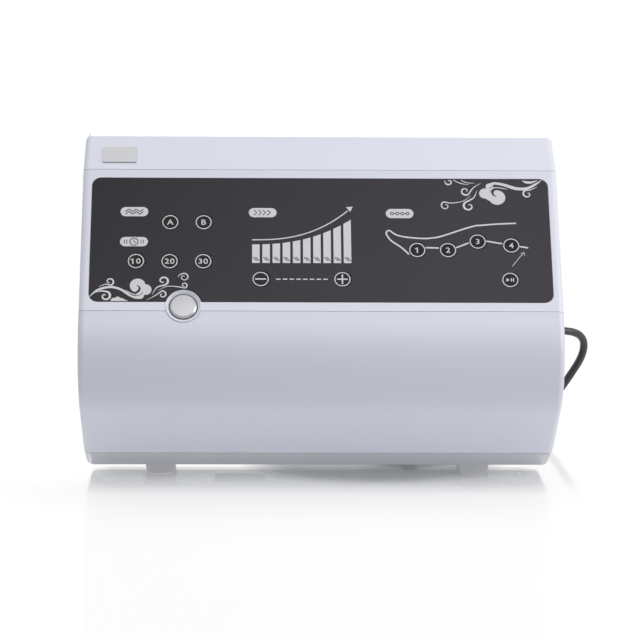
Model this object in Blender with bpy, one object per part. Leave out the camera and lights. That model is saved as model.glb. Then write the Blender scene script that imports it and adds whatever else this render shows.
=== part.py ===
"""Compression therapy pump: a wedge-shaped table unit that feeds air to a leg garment.

Metres, +Z up, +X to the right as the user sees it, +Y to the rear. The origin is on the
floor, under the middle of the unit's box without its mains lead.
"""
import math

import bmesh
import bpy
from mathutils import Matrix, Vector

# Driving sizes of the case
case_width = 0.365
underside_depth = 0.0686
wall = 0.0026
side_fillet = 0.005
gap = 0.0003
overrun = 0.002

# Side profile, from the front edge of the underside up over the nose to the top
foot_height = 0.009
base_wall_length = 0.0408
base_lean = math.radians(65.0)
under_length = 0.0666
under_lean = math.radians(50.5)
nose_radius = 0.0523
nose_drop = 0.0082
panel_height = 0.1228
panel_lean = math.radians(36.9)
strip_length = 0.0455
strip_lean = math.radians(61.1)
strip_blend_radius = 0.006
rear_top_radius = 0.012
rear_bottom_radius = 0.0065
seam_lean = math.radians(20.0)
rear_cover_depth = 0.030

# Control panel, across X and up the slope from its lower seam
bezel_depth = 0.014
ledge_reach = 0.004
ledge_thickness = 0.002
overlay_side_margin = 0.0075
overlay_height = 0.1083
overlay_foot = 0.0077
overlay_corner = 0.007
overlay_thickness = 0.0005
key_radius = 0.0066
key_cap_thickness = 0.0023
key_stem_radius = 0.002
key_travel = 0.00045
key_place_shares = {
    "key_mode_a": (-0.3263, 0.6213), "key_mode_b": (-0.2537, 0.6213),
    "key_time_10": (-0.3989, 0.3453), "key_time_20": (-0.3263, 0.3453), "key_time_30": (-0.2537, 0.3453),
    "key_pressure_down": (-0.1294, 0.2223), "key_pressure_up": (0.0469, 0.2223),
    "key_position_1": (0.2103, 0.4292), "key_position_2": (0.2771, 0.4292),
    "key_position_3": (0.3423, 0.4902), "key_position_4": (0.4151, 0.4625),
    "key_start": (0.4097, 0.2207),
}

# Power button and the round lobe of the bezel that holds it
lobe_x_share = -0.2966
lobe_up = 0.0040
lobe_radius = 0.0136
lobe_rim_rise = 0.0005
lobe_rim_width = 0.0009
lobe_dish = 0.0010
collar_wall = 0.0015
collar_depth = 0.008
button_slot = 0.0007
button_radius = 0.0102
button_rise = 0.0009
button_bevel = 0.0016
button_flange_top = 0.0015
button_flange_end = 0.0029
button_stem_radius = 0.002
button_travel = 0.0025
stem_entry = 0.001

# Control board behind the bezel
board_depth = 0.012
board_thickness = 0.0016
board_side_margin = 0.017
board_foot = 0.016
board_head = 0.108
board_tab_half_width = 0.017
board_tab_drop = 0.010
tact_size = 0.006
tact_height = 0.0035
power_switch_size = 0.009
power_switch_height = 0.006
standoff_radius = 0.0035
stake_radius = 0.0012
stake_proud = 0.0010
standoff_column_shares = (-0.4286, 0.1286, 0.3657)
standoff_rows = (0.022, 0.102)
led_count = 10
led_pitch_share = 0.0223
led_size = 0.003
led_height = 0.002
led_row = 0.036
led_first_x_share = -0.14

# Screws
screw_radius = 0.0014
screw_head_radius = 0.0030
screw_head_height = 0.002
screw_bite = 0.006
boss_radius = 0.0045
boss_block = 0.018
base_screw_side = 0.0165
base_screw_front = 0.0116
base_screw_rear = 0.016
base_block_height = 0.013
rear_screw_side = 0.0145
rear_screw_heights = (0.050, 0.228)
rear_block_height = 0.013
rear_block_depth = 0.011
corner_block_inset = 0.0075

# Feet and vents
foot_radius = 0.012
foot_taper = 0.001
foot_side = 0.0575
foot_front = 0.0166
foot_rear = 0.016
vent_length = 0.052
vent_height = 0.003
vent_pitch = 0.0075
vent_count = 6
vent_x = 0.085
vent_foot = 0.185
floor_vent_length = 0.040
floor_vent_count = 4
floor_vent_x = 0.062
floor_vent_front = 0.0206

# Blank badge on the top strip
badge_width = 0.0262
badge_height = 0.0200
badge_thickness = 0.0008
badge_side = 0.0277
badge_up = 0.0188
badge_corner = 0.001

# Air pump: a housing with a magnetic armature and a diaphragm head at each end
pump_from_supply = 0.133
pump_from_rear = 0.042
pump_length = 0.070
pump_width = 0.060
pump_height = 0.052
pump_wall = 0.006
pump_mount_height = 0.010
pump_mount_width = 0.012
pump_mount_inset = 0.008
head_length = 0.020
head_pocket_radius = 0.021
diaphragm_thickness = 0.0015
diaphragm_clearance = 0.0013
rod_radius = 0.0034
armature_length = 0.040
armature_width = 0.022
armature_height = 0.010
armature_travel = 0.0012
coil_length = 0.036
coil_width = 0.030
coil_height = 0.013

# Valve block with four solenoids and the hose ports behind it
port_count = 4
port_pitch = 0.024
valve_x = -0.085
valve_z = 0.108
valve_length = 0.100
valve_depth = 0.024
valve_height = 0.026
port_shank_radius = 0.006
port_shank_length = 0.008
port_flange_radius = 0.008
port_flange_thickness = 0.0025
port_barb_radius = 0.005
port_neck_radius = 0.0042
port_bore_radius = 0.0025
port_reach = 0.014
port_barbs = 2
solenoid_radius = 0.009
solenoid_height = 0.028
yoke_thickness = 0.002
plunger_radius = 0.003
plunger_hold = 0.0032
plunger_proud = 0.002
plunger_travel = 0.0018
tube_radius = 0.004

# Power board and what stands on it
supply_from_side = 0.0845
supply_from_rear = 0.038
supply_length = 0.120
supply_width = 0.058
supply_height = 0.011
supply_post_inset = 0.006
transformer_shift = 0.024
transformer_length = 0.050
transformer_depth = 0.018
transformer_height = 0.042
transformer_leg = 0.008
winding_depth = 0.036
capacitor_shift = 0.022
capacitor_radius = 0.006
capacitor_height = 0.018
capacitor_pitch = 0.016
capacitor_count = 3
ribbon_shift = 0.051
ribbon_width = 0.016
ribbon_thickness = 0.0008
ribbon_top = 0.050
ribbon_drop_back = 0.027
ribbon_drop_z = 0.070

# Fuse holder and mains lead entry in the rear wall
fuse_x = 0.098
inlet_z = 0.096
fuse_radius = 0.006
fuse_cap_radius = 0.008
fuse_cap_thickness = 0.003
fuse_length = 0.026
gland_x = 0.132
gland_radius = 0.0068
gland_flange_radius = 0.010
gland_flange_thickness = 0.003
gland_tip_radius = 0.0046
gland_length = 0.040
gland_inner_length = 0.012
gland_ribs = 5
gland_rib_depth = 0.0008

# Mains lead: 6.6 mm round flexible cord
cord_radius = 0.0033
cord_step = 0.014
coil_x = 0.078
coil_y = 0.250
coil_turn_radius = 0.0372
coil_turns_per_layer = 3
coil_wire_pitch = 0.0072
coil_layer_rise = 0.0072
loop_points = 24
tie_thickness = 0.001
tie_width = 0.012
tie_slack = 0.0015
floor_clearance = 0.0001

# Two-pin plug
plug_width = 0.035
plug_thickness = 0.0137
plug_length = 0.036
plug_sleeve_length = 0.024
plug_sleeve_radius = 0.0048
pin_radius = 0.002
pin_length = 0.019
pin_pitch = 0.0186
pin_root = 0.003
plug_corner_share = 0.46
plug_section_shares = ((0.10, 0.62, 0.90), (0.36, 1, 1), (0.88, 1, 1), (1, 0.94, 0.90))

# How finely round shapes are drawn
fine_segments = 28
round_segments = 16
small_segments = 10
fillet_steps = 3
nose_steps = 11
blend_steps = 2
cut_steps = 3
curve_steps = 24

quarter_turn = math.pi / 2
half_share = 0.5
full_turn = 2 * math.pi

finishes = {
    "pearl_white": ((0.68, 0.70, 0.79), 0.32, 0.0),
    "panel_black": ((0.045, 0.043, 0.050), 0.30, 0.0),
    "soft_silver": ((0.62, 0.62, 0.65), 0.28, 0.6),
    "rubber_grey": ((0.09, 0.09, 0.10), 0.80, 0.0),
    "cord_black": ((0.030, 0.030, 0.033), 0.50, 0.0),
    "board_green": ((0.03, 0.18, 0.08), 0.45, 0.0),
    "part_black": ((0.05, 0.05, 0.05), 0.50, 0.0),
    "cast_metal": ((0.55, 0.56, 0.58), 0.40, 0.9),
    "steel": ((0.60, 0.60, 0.62), 0.30, 1.0),
    "copper": ((0.72, 0.36, 0.20), 0.35, 0.9),
    "nickel": ((0.75, 0.73, 0.70), 0.22, 1.0),
    "tube_clear": ((0.75, 0.78, 0.80), 0.35, 0.0),
    "moulded_grey": ((0.45, 0.46, 0.49), 0.50, 0.0),
}


def clear_scene():
    for item in list(bpy.data.objects):
        bpy.data.objects.remove(item)


def finish_material(name):
    if name in bpy.data.materials:
        return bpy.data.materials[name]
    colour, roughness, metallic = finishes[name]
    material = bpy.data.materials.new(name)
    material.use_nodes = True
    shader = material.node_tree.nodes["Principled BSDF"]
    shader.inputs["Base Color"].default_value = (*colour, 1.0)
    shader.inputs["Roughness"].default_value = roughness
    shader.inputs["Metallic"].default_value = metallic
    return material


# Outlines

def circle(radius, segments=round_segments, centre=(0, 0)):
    return [(centre[0] + radius * math.cos(full_turn * i / segments),
             centre[1] + radius * math.sin(full_turn * i / segments)) for i in range(segments)]


def rectangle(width, height, centre=(0, 0)):
    x, y = width / 2, height / 2
    return [(centre[0] + sx * x, centre[1] + sy * y) for sx, sy in ((-1, -1), (1, -1), (1, 1), (-1, 1))]


def rounded_rectangle(width, height, radius, centre=(0, 0), steps=cut_steps):
    points = []
    x, y = width / 2 - radius, height / 2 - radius
    for corner, (sx, sy) in enumerate(((1, 1), (-1, 1), (-1, -1), (1, -1))):
        for i in range(steps + 1):
            angle = quarter_turn * (corner + i / steps)
            points.append((centre[0] + sx * x + radius * math.cos(angle),
                           centre[1] + sy * y + radius * math.sin(angle)))
    return points


def round_corner(before, corner, after, radius, steps):
    """Arc of a radius that replaces the corner between two straight runs."""
    a = (before - corner).normalized()
    b = (after - corner).normalized()
    half = a.angle(b) / 2
    centre = corner + (a + b).normalized() * (radius / math.sin(half))
    start = corner + a * (radius / math.tan(half)) - centre
    end = corner + b * (radius / math.tan(half)) - centre
    sweep = start.angle_signed(end)
    return [centre + Matrix.Rotation(-sweep * i / steps, 2) @ start for i in range(steps + 1)]


def side_profile():
    """The case's outline in Y and Z, and its seam points."""
    def up(lean):
        return Vector((math.sin(lean), math.cos(lean)))

    def forward(lean):
        return Vector((-math.sin(lean), math.cos(lean)))

    front_edge = Vector((0, foot_height))
    base_seam = front_edge + forward(base_lean) * base_wall_length
    nose_start = base_seam + forward(under_lean) * under_length
    nose_centre = nose_start + Vector((math.cos(under_lean), math.sin(under_lean))) * nose_radius
    shift = Vector((nose_radius - nose_centre.x, 0))
    front_edge, base_seam, nose_centre = front_edge + shift, base_seam + shift, nose_centre + shift

    nose = []
    for i in range(nose_steps + 1):
        angle = -under_lean + (under_lean + panel_lean) * i / nose_steps
        nose.append(nose_centre + Vector((-math.cos(angle), math.sin(angle))) * nose_radius)
    lower_seam = nose[-1] + up(panel_lean) * nose_drop
    upper_seam = lower_seam + up(panel_lean) * panel_height
    strip_end = upper_seam + up(strip_lean) * strip_length
    rear_top = Vector((front_edge.x + underside_depth, strip_end.y))
    rear_bottom = Vector((rear_top.x, foot_height))

    points = [front_edge, base_seam] + nose + [lower_seam, upper_seam]
    points += round_corner(upper_seam, strip_end, rear_top, strip_blend_radius, blend_steps)
    points += round_corner(strip_end, rear_top, rear_bottom, rear_top_radius, fillet_steps)
    points += round_corner(rear_top, rear_bottom, front_edge, rear_bottom_radius, blend_steps)
    return points, base_seam, lower_seam, upper_seam, strip_end


profile, base_seam, lower_seam, upper_seam, strip_end = side_profile()
front_edge = profile[0].x
case_depth = front_edge + underside_depth
floor_top = foot_height + wall
case_top = strip_end.y
rear_part_line = case_depth - rear_cover_depth
overlay_width = case_width - 2 * overlay_side_margin
board_half_width = overlay_width / 2 - board_side_margin
lobe_x = lobe_x_share * overlay_width
standoff_columns = [share * overlay_width for share in standoff_column_shares]
base_screw_x = case_width / 2 - base_screw_side
base_screw_rows = (front_edge + base_screw_front, case_depth - base_screw_rear)
rear_screw_x = case_width / 2 - rear_screw_side
foot_x = case_width / 2 - foot_side
foot_rows = (front_edge + foot_front, case_depth - foot_rear)
supply_x = case_width / 2 - supply_from_side
supply_y = case_depth - supply_from_rear
pump_x = supply_x - pump_from_supply
pump_y = case_depth - pump_from_rear
rear_reach = case_depth + port_reach
origin_shift = Matrix.Translation((0, -rear_reach / 2, 0))


def inset(points, distance):
    """The closed outline moved inwards; it runs clockwise."""
    moved = []
    for i, point in enumerate(points):
        before = (point - points[i - 1]).normalized()
        after = (points[(i + 1) % len(points)] - point).normalized()
        first = Vector((before.y, -before.x))
        second = Vector((after.y, -after.x))
        moved.append(point + (first + second) * (distance / (1 + first.dot(second))))
    return moved


# Frames: each maps an outline's x and y, and its height z, into the part

def axes_frame(x_axis, y_axis, z_axis, origin):
    columns = Matrix((x_axis, y_axis, z_axis)).transposed().to_4x4()
    return origin_shift @ Matrix.Translation(origin) @ columns


across_case = axes_frame((0, 1, 0), (0, 0, 1), (1, 0, 0), (0, 0, 0))
upright = axes_frame((1, 0, 0), (0, 1, 0), (0, 0, 1), (0, 0, 0))
slope_up = (0, math.sin(panel_lean), math.cos(panel_lean))
slope_out = (0, -math.cos(panel_lean), math.sin(panel_lean))
panel = axes_frame((1, 0, 0), slope_up, slope_out, (0, lower_seam.x, lower_seam.y))
strip_up = (0, math.sin(strip_lean), math.cos(strip_lean))
strip_out = (0, -math.cos(strip_lean), math.sin(strip_lean))
strip = axes_frame((1, 0, 0), strip_up, strip_out, (0, upper_seam.x, upper_seam.y))
rear = axes_frame((-1, 0, 0), (0, 0, 1), (0, 1, 0), (0, case_depth, 0))


def rear_at(x, z):
    return rear @ Matrix.Translation((-x, z, 0))


def panel_at(x, up_slope):
    return panel @ Matrix.Translation((x, up_slope, 0))


def upright_at(x, y, z=0):
    return upright @ Matrix.Translation((x, y, z))


# Solids

def loft(rings, closed=False):
    """A solid through rings of points; a closed one joins its last ring to its first."""
    mesh = bpy.data.meshes.new("solid")
    shape = bmesh.new()
    rows = [[shape.verts.new(point) for point in ring] for ring in rings]
    pairs = list(zip(rows, rows[1:]))
    if closed:
        pairs.append((rows[-1], rows[0]))
    else:
        shape.faces.new(rows[0])
        shape.faces.new(rows[-1])
    count = len(rows[0])
    for low, high in pairs:
        for i in range(count):
            j = (i + 1) % count
            shape.faces.new((low[i], low[j], high[j], high[i]))
    bmesh.ops.recalc_face_normals(shape, faces=shape.faces)
    shape.to_mesh(mesh)
    shape.free()
    solid = bpy.data.objects.new("solid", mesh)
    bpy.context.scene.collection.objects.link(solid)
    return solid


def extrude(outline, low, high, frame=upright):
    return loft([[frame @ Vector((x, y, z)) for x, y in outline] for z in (low, high)])


def block(low, high, frame=upright):
    outline = [(low[0], low[1]), (high[0], low[1]), (high[0], high[1]), (low[0], high[1])]
    return extrude(outline, low[2], high[2], frame)


def disc(radius, low, high, frame=upright, segments=round_segments):
    return extrude(circle(radius, segments), low, high, frame)


def turned(profile_points, frame=upright, segments=round_segments, closed=False):
    """A turned solid from radius and height pairs; a closed profile leaves a bore."""
    rings = [[frame @ Vector((x, y, height)) for x, y in circle(radius, segments)]
             for radius, height in profile_points]
    return loft(rings, closed)


def combine(target, tool, operation):
    """Apply a Boolean and drop the tool solid."""
    modifier = target.modifiers.new("combine", "BOOLEAN")
    modifier.operation = operation
    modifier.object = tool
    bpy.context.view_layer.update()
    depsgraph = bpy.context.evaluated_depsgraph_get()
    mesh = bpy.data.meshes.new_from_object(target.evaluated_get(depsgraph))
    target.modifiers.clear()
    target.data = mesh
    bpy.data.objects.remove(tool)
    return target


def cut(target, *tools):
    for tool in tools:
        combine(target, tool, "DIFFERENCE")
    return target


def add(target, *tools):
    for tool in tools:
        combine(target, tool, "UNION")
    return target


def common(target, tool):
    return combine(target, tool, "INTERSECT")


smooth_limit = math.radians(32)


def piece(name, finish, solid, origin=None):
    """Name a solid, give it its material, and set its origin."""
    solid.name = name
    solid.data.name = name
    solid.data.materials.clear()
    solid.data.materials.append(finish_material(finish))
    solid.data.shade_smooth()
    solid.data.set_sharp_from_angle(angle=smooth_limit)
    if origin is not None:
        solid.data.transform(Matrix.Translation(-origin))
        solid.location = origin
    return solid


# Case shells

def case_block(depth):
    """The whole case, or with a depth the space that far inside it."""
    fillet = max(side_fillet - depth, 0)
    half = case_width / 2 - depth
    rings = []
    for side in (-1, 1):
        steps = range(fillet_steps, -1, -1) if side < 0 else range(fillet_steps + 1)
        for i in steps:
            angle = quarter_turn * i / fillet_steps
            x = side * (half - fillet + fillet * math.sin(angle))
            inside = inset(profile, depth + fillet * (1 - math.cos(angle)))
            rings.append([across_case @ Vector((p.x, p.y, x)) for p in inside])
    return loft(rings)


def bezel_region(clearance):
    """The bezel's wedge between its two seams, down to the depth of its side returns."""
    inward = Vector((math.cos(seam_lean), -math.sin(seam_lean)))
    along = Vector((math.sin(panel_lean), math.cos(panel_lean)))
    square = Vector((math.cos(panel_lean), -math.sin(panel_lean)))
    reach = inward * ((bezel_depth + clearance) / inward.dot(square))
    low = lower_seam - along * clearance
    high = upper_seam + along * clearance
    proud = inward * bezel_depth
    outline = [low - proud, low + reach, high + reach, high - proud]
    half = case_width / 2 + overrun
    return extrude([(p.x, p.y) for p in outline], -half, half, across_case)


def lobe_cutter(clearance, depth):
    return disc(lobe_radius + clearance, -depth, bezel_depth, panel_at(lobe_x, lobe_up), fine_segments)


def region_below_base_seam(clearance):
    half = case_width / 2 + overrun
    return block((-half, -overrun, 0), (half, case_depth + overrun, base_seam.y + clearance))


def ledge(seam_up, side):
    """A lip on the front case that the bezel's edge rests on."""
    half = case_width / 2 - wall - gap - ledge_thickness
    bend = strip_lean - panel_lean
    dip = wall * (math.tan(panel_lean - seam_lean) + math.tan(bend / 2)) * math.tan(bend)
    under = wall + gap + max(side, 0) * dip
    far = seam_up + side * (ledge_reach + wall)
    near = seam_up - side * ledge_reach
    riser = seam_up + side * 2 * gap + max(side, 0) * wall * math.tan(panel_lean - seam_lean)
    outline = [(near, -under), (near, -under - ledge_thickness), (far, -under - ledge_thickness),
               (far, -wall / 2), (riser, -wall / 2), (riser, -under)]
    frame = panel @ Matrix(((0, 0, 1, 0), (1, 0, 0, 0), (0, 1, 0, 0), (0, 0, 0, 1)))
    return extrude(outline, -half, half, frame)


def corner_block(side, y_low, y_high, z_low, z_high):
    inner = case_width / 2 - boss_block
    outer = case_width / 2 - wall / 2
    low_x, high_x = sorted((side * inner, side * outer))
    return block((low_x, y_low, z_low), (high_x, y_high, z_high))


def base_screw_places():
    return [(side * base_screw_x, y) for side in (-1, 1) for y in base_screw_rows]


def rear_screw_places():
    return [(side * rear_screw_x, z) for side in (-1, 1) for z in rear_screw_heights]


screw_hole = screw_radius + gap
head_hole = screw_head_radius + gap
half_gap = gap / 2
block_floor = base_seam.y + half_gap


def make_front_case():
    rear_end = rear_part_line - half_gap
    shell = case_block(0)
    cut(shell, case_block(wall), bezel_region(half_gap))
    add(shell, ledge(0, -1), ledge(panel_height, 1))
    cut(shell, lobe_cutter(gap, collar_depth + ledge_thickness))
    half_block = corner_block_inset
    for side in (-1, 1):
        y = base_screw_rows[0]
        add(shell, corner_block(side, y - half_block, y + half_block, block_floor - overrun,
                                block_floor + base_block_height))
        for z in rear_screw_heights:
            add(shell, corner_block(side, rear_end - rear_block_depth, rear_end + overrun,
                                    z - rear_block_height / 2, z + rear_block_height / 2))
    common(shell, block((-case_width, -overrun, block_floor),
                        (case_width, rear_end, case_top + overrun)))
    for x, y in base_screw_places():
        if y == base_screw_rows[0]:
            cut(shell, disc(screw_hole, -overrun, block_floor + screw_bite + gap,
                            upright_at(x, y), small_segments))
    depth = case_depth - rear_part_line
    for x, z in rear_screw_places():
        cut(shell, disc(screw_hole, -depth - screw_bite - gap, 0, rear_at(x, z), small_segments))
    return piece("front_case", "pearl_white", shell)


def make_base_tray():
    shell = common(case_block(0), region_below_base_seam(-half_gap))
    cut(shell, case_block(wall))
    top = base_seam.y - half_gap
    for x, y in base_screw_places():
        add(shell, disc(boss_radius, foot_height + wall / 2, top, upright_at(x, y)))
        cut(shell, disc(screw_hole, 0, top + overrun, upright_at(x, y), small_segments))
        cut(shell, disc(head_hole, 0, floor_top, upright_at(x, y)))
    posts = [(supply_x + sx * (supply_length / 2 - supply_post_inset),
              supply_y + sy * (supply_width / 2 - supply_post_inset))
             for sx in (-1, 1) for sy in (-1, 1)]
    for x, y in posts:
        add(shell, disc(standoff_radius, foot_height + wall / 2, foot_height + supply_height - gap,
                        upright_at(x, y), small_segments))
    for x in (-floor_vent_x, floor_vent_x):
        for i in range(floor_vent_count):
            y = front_edge + floor_vent_front + i * vent_pitch
            cut(shell, block((x - floor_vent_length / 2, y - vent_height / 2, 0),
                             (x + floor_vent_length / 2, y + vent_height / 2, floor_top + overrun)))
    return piece("base_tray", "pearl_white", shell)


def port_places():
    first = -(port_count - 1) / 2
    return [valve_x + (first + i) * port_pitch for i in range(port_count)]


def make_rear_cover():
    shell = common(case_block(0), block((-case_width, rear_part_line + half_gap, block_floor),
                                        (case_width, case_depth + overrun, case_top + overrun)))
    cut(shell, case_block(wall))
    depth = case_depth - rear_part_line - half_gap
    for x, z in rear_screw_places():
        add(shell, disc(boss_radius, -depth, -wall / 2, rear_at(x, z)))
        cut(shell, disc(screw_hole, -depth - overrun, overrun, rear_at(x, z), small_segments))
        cut(shell, disc(head_hole, -wall, overrun, rear_at(x, z)))
    half_block = corner_block_inset
    for side in (-1, 1):
        y = base_screw_rows[1]
        add(shell, corner_block(side, y - half_block, y + half_block, block_floor,
                                block_floor + base_block_height))
        cut(shell, disc(screw_hole, 0, block_floor + screw_bite + gap,
                        upright_at(side * base_screw_x, y), small_segments))
    for x in (-vent_x, vent_x):
        for i in range(vent_count):
            z = vent_foot + i * vent_pitch
            cut(shell, block((x - vent_length / 2, z - vent_height / 2, -wall - overrun),
                             (x + vent_length / 2, z + vent_height / 2, overrun), rear))
    for x in port_places():
        cut(shell, disc(port_shank_radius + gap, -wall - overrun, overrun, rear_at(x, valve_z)))
    cut(shell, disc(fuse_radius + gap, -wall - overrun, overrun, rear_at(fuse_x, inlet_z)))
    cut(shell, disc(gland_radius + gap, -wall - overrun, overrun, rear_at(gland_x, inlet_z)))
    return piece("rear_cover", "pearl_white", shell)


# Control panel

key_places = {name: (across * overlay_width, up * panel_height)
              for name, (across, up) in key_place_shares.items()}
led_pitch = led_pitch_share * overlay_width
led_first_x = led_first_x_share * overlay_width
overlay_centre = (0, overlay_foot + overlay_height / 2)
bore_radius = button_radius + button_slot


def make_bezel():
    shell = common(case_block(0), bezel_region(-half_gap))
    cut(shell, case_block(wall))
    recess = rounded_rectangle(overlay_width + 2 * gap, overlay_height + 2 * gap,
                               overlay_corner + gap, overlay_centre)
    cut(shell, extrude(recess, -overlay_thickness - gap, overrun, panel))
    cut(shell, disc(lobe_radius - gap, -wall - overrun, overrun, panel_at(lobe_x, lobe_up), fine_segments))
    for x, up_slope in key_places.values():
        cut(shell, disc(key_radius + gap, -wall - overrun, overrun, panel_at(x, up_slope)))
    window = led_pitch * (led_count - 1) / 2
    cut(shell, extrude(rectangle(2 * window + 2 * led_size, 2 * led_size,
                                 (led_first_x + window, led_row)), -wall - overrun, overrun, panel))
    rim = lobe_radius - lobe_rim_width
    lobe = [(bore_radius, -lobe_dish), (rim - lobe_rim_width, lobe_rim_rise - lobe_rim_width / 2),
            (rim, lobe_rim_rise), (lobe_radius, -lobe_rim_rise), (lobe_radius, -wall),
            (bore_radius + collar_wall, -wall - collar_wall),
            (bore_radius + collar_wall, -collar_depth), (bore_radius, -collar_depth)]
    add(shell, turned(lobe, panel_at(lobe_x, lobe_up), fine_segments, closed=True))
    for x in standoff_columns:
        for up_slope in standoff_rows:
            frame = panel_at(x, up_slope)
            stake_end = -board_depth - board_thickness - stake_proud
            add(shell, turned([(standoff_radius, -wall / 2), (standoff_radius, -board_depth + gap),
                               (stake_radius, -board_depth + gap), (stake_radius, stake_end)],
                              frame, small_segments))
    return piece("panel_bezel", "pearl_white", shell)


def make_overlay():
    outline = rounded_rectangle(overlay_width, overlay_height, overlay_corner, overlay_centre)
    sheet = extrude(outline, -overlay_thickness, 0, panel)
    cut(sheet, lobe_cutter(gap, collar_depth))
    for x, up_slope in key_places.values():
        cut(sheet, disc(key_radius + gap, -wall, overrun, panel_at(x, up_slope)))
    return piece("graphic_overlay", "panel_black", sheet)


tact_top = board_depth - gap - tact_height


def make_keys():
    stem_end = tact_top - key_travel - half_gap
    profile_points = [(key_radius, 0), (key_radius, -key_cap_thickness),
                      (key_stem_radius, -key_cap_thickness), (key_stem_radius, -stem_end)]
    for name, (x, up_slope) in key_places.items():
        frame = panel_at(x, up_slope)
        piece(name, "panel_black", turned(profile_points, frame), frame.to_translation())


def make_power_button():
    frame = panel_at(lobe_x, lobe_up)
    flange = bore_radius - gap
    switch_top = board_depth - gap - power_switch_height
    profile_points = [(button_radius - button_bevel, button_rise),
                      (button_radius - button_bevel / 3, button_rise / 2),
                      (button_radius, -button_rise / 3), (button_radius, -button_flange_top),
                      (flange, -button_flange_top), (flange, -button_flange_end),
                      (button_stem_radius, -button_flange_end),
                      (button_stem_radius, -switch_top - stem_entry)]
    solid = turned(profile_points, frame, fine_segments)
    piece("power_button", "soft_silver", solid, frame.to_translation())


def make_power_switch():
    frame = panel_at(lobe_x, lobe_up)
    top = -board_depth + gap + power_switch_height
    body = extrude(rectangle(power_switch_size, power_switch_size), -board_depth + gap, top, frame)
    well = stem_entry + button_travel + gap
    cut(body, disc(button_stem_radius + gap, top - well, top + overrun, frame, small_segments))
    piece("power_switch", "part_black", body)


def make_control_board():
    tab_low, tab_high = lobe_x - board_tab_half_width, lobe_x + board_tab_half_width
    tab_foot = lobe_up - board_tab_drop
    outline = [(-board_half_width, board_foot), (tab_low, board_foot), (tab_low, tab_foot),
               (tab_high, tab_foot), (tab_high, board_foot), (board_half_width, board_foot),
               (board_half_width, board_head), (-board_half_width, board_head)]
    board = extrude(outline, -board_depth - board_thickness, -board_depth, panel)
    for x in standoff_columns:
        for up_slope in standoff_rows:
            cut(board, disc(stake_radius + gap, -board_depth - board_thickness - overrun,
                            -board_depth + overrun, panel_at(x, up_slope), small_segments))
    root = -board_depth - board_thickness / 2
    for x, up_slope in key_places.values():
        add(board, extrude(rectangle(tact_size, tact_size), root, -tact_top, panel_at(x, up_slope)))
    for i in range(led_count):
        add(board, extrude(rectangle(led_size, led_size), root, -board_depth + led_height,
                           panel_at(led_first_x + i * led_pitch, led_row)))
    piece("control_board", "board_green", board)


def make_badge():
    outline = rounded_rectangle(badge_width, badge_height, badge_corner, (badge_side - case_width / 2, badge_up))
    piece("blank_badge", "soft_silver", extrude(outline, gap, gap + badge_thickness, strip))


# Feet and screws

def corner_names(base):
    return [f"{base}_{side}_{end}" for side in ("left", "right") for end in ("front", "rear")]


def make_feet_and_screws():
    foot = [(foot_radius - foot_taper, 0), (foot_radius, foot_taper), (foot_radius, foot_height - gap)]
    foot_places = [(side * foot_x, y) for side in (-1, 1) for y in foot_rows]
    for name, (x, y) in zip(corner_names("rubber_foot"), foot_places):
        piece(name, "rubber_grey", turned(foot, upright_at(x, y)))
    seat = floor_top - gap
    base_screw = [(screw_head_radius, seat - screw_head_height), (screw_head_radius, seat),
                  (screw_radius, seat), (screw_radius, block_floor + screw_bite)]
    for name, (x, y) in zip(corner_names("base_screw"), base_screw_places()):
        piece(name, "steel", turned(base_screw, upright_at(x, y), small_segments))
    seat = -wall + gap
    tip = -(case_depth - rear_part_line) - screw_bite
    rear_screw = [(screw_head_radius, seat + screw_head_height), (screw_head_radius, seat),
                  (screw_radius, seat), (screw_radius, tip)]
    names = [f"rear_screw_{side}_{end}" for side in ("left", "right") for end in ("low", "high")]
    for name, (x, z) in zip(names, rear_screw_places()):
        piece(name, "steel", turned(rear_screw, rear_at(x, z), small_segments))


# Air pump

pump_foot = floor_top + pump_mount_height
pump_axis_z = pump_foot + pump_height / 2
pump_end = pump_length / 2
rod_end = pump_end + armature_travel + diaphragm_clearance + diaphragm_thickness
pocket_end = rod_end + armature_travel + diaphragm_clearance


def pump_frame(side=1):
    """Height runs along X, away from the pump's middle on the given side."""
    x_axis = (0, side, 0)
    return axes_frame(x_axis, (0, 0, 1), (side, 0, 0), (pump_x, pump_y, pump_axis_z))


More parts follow.
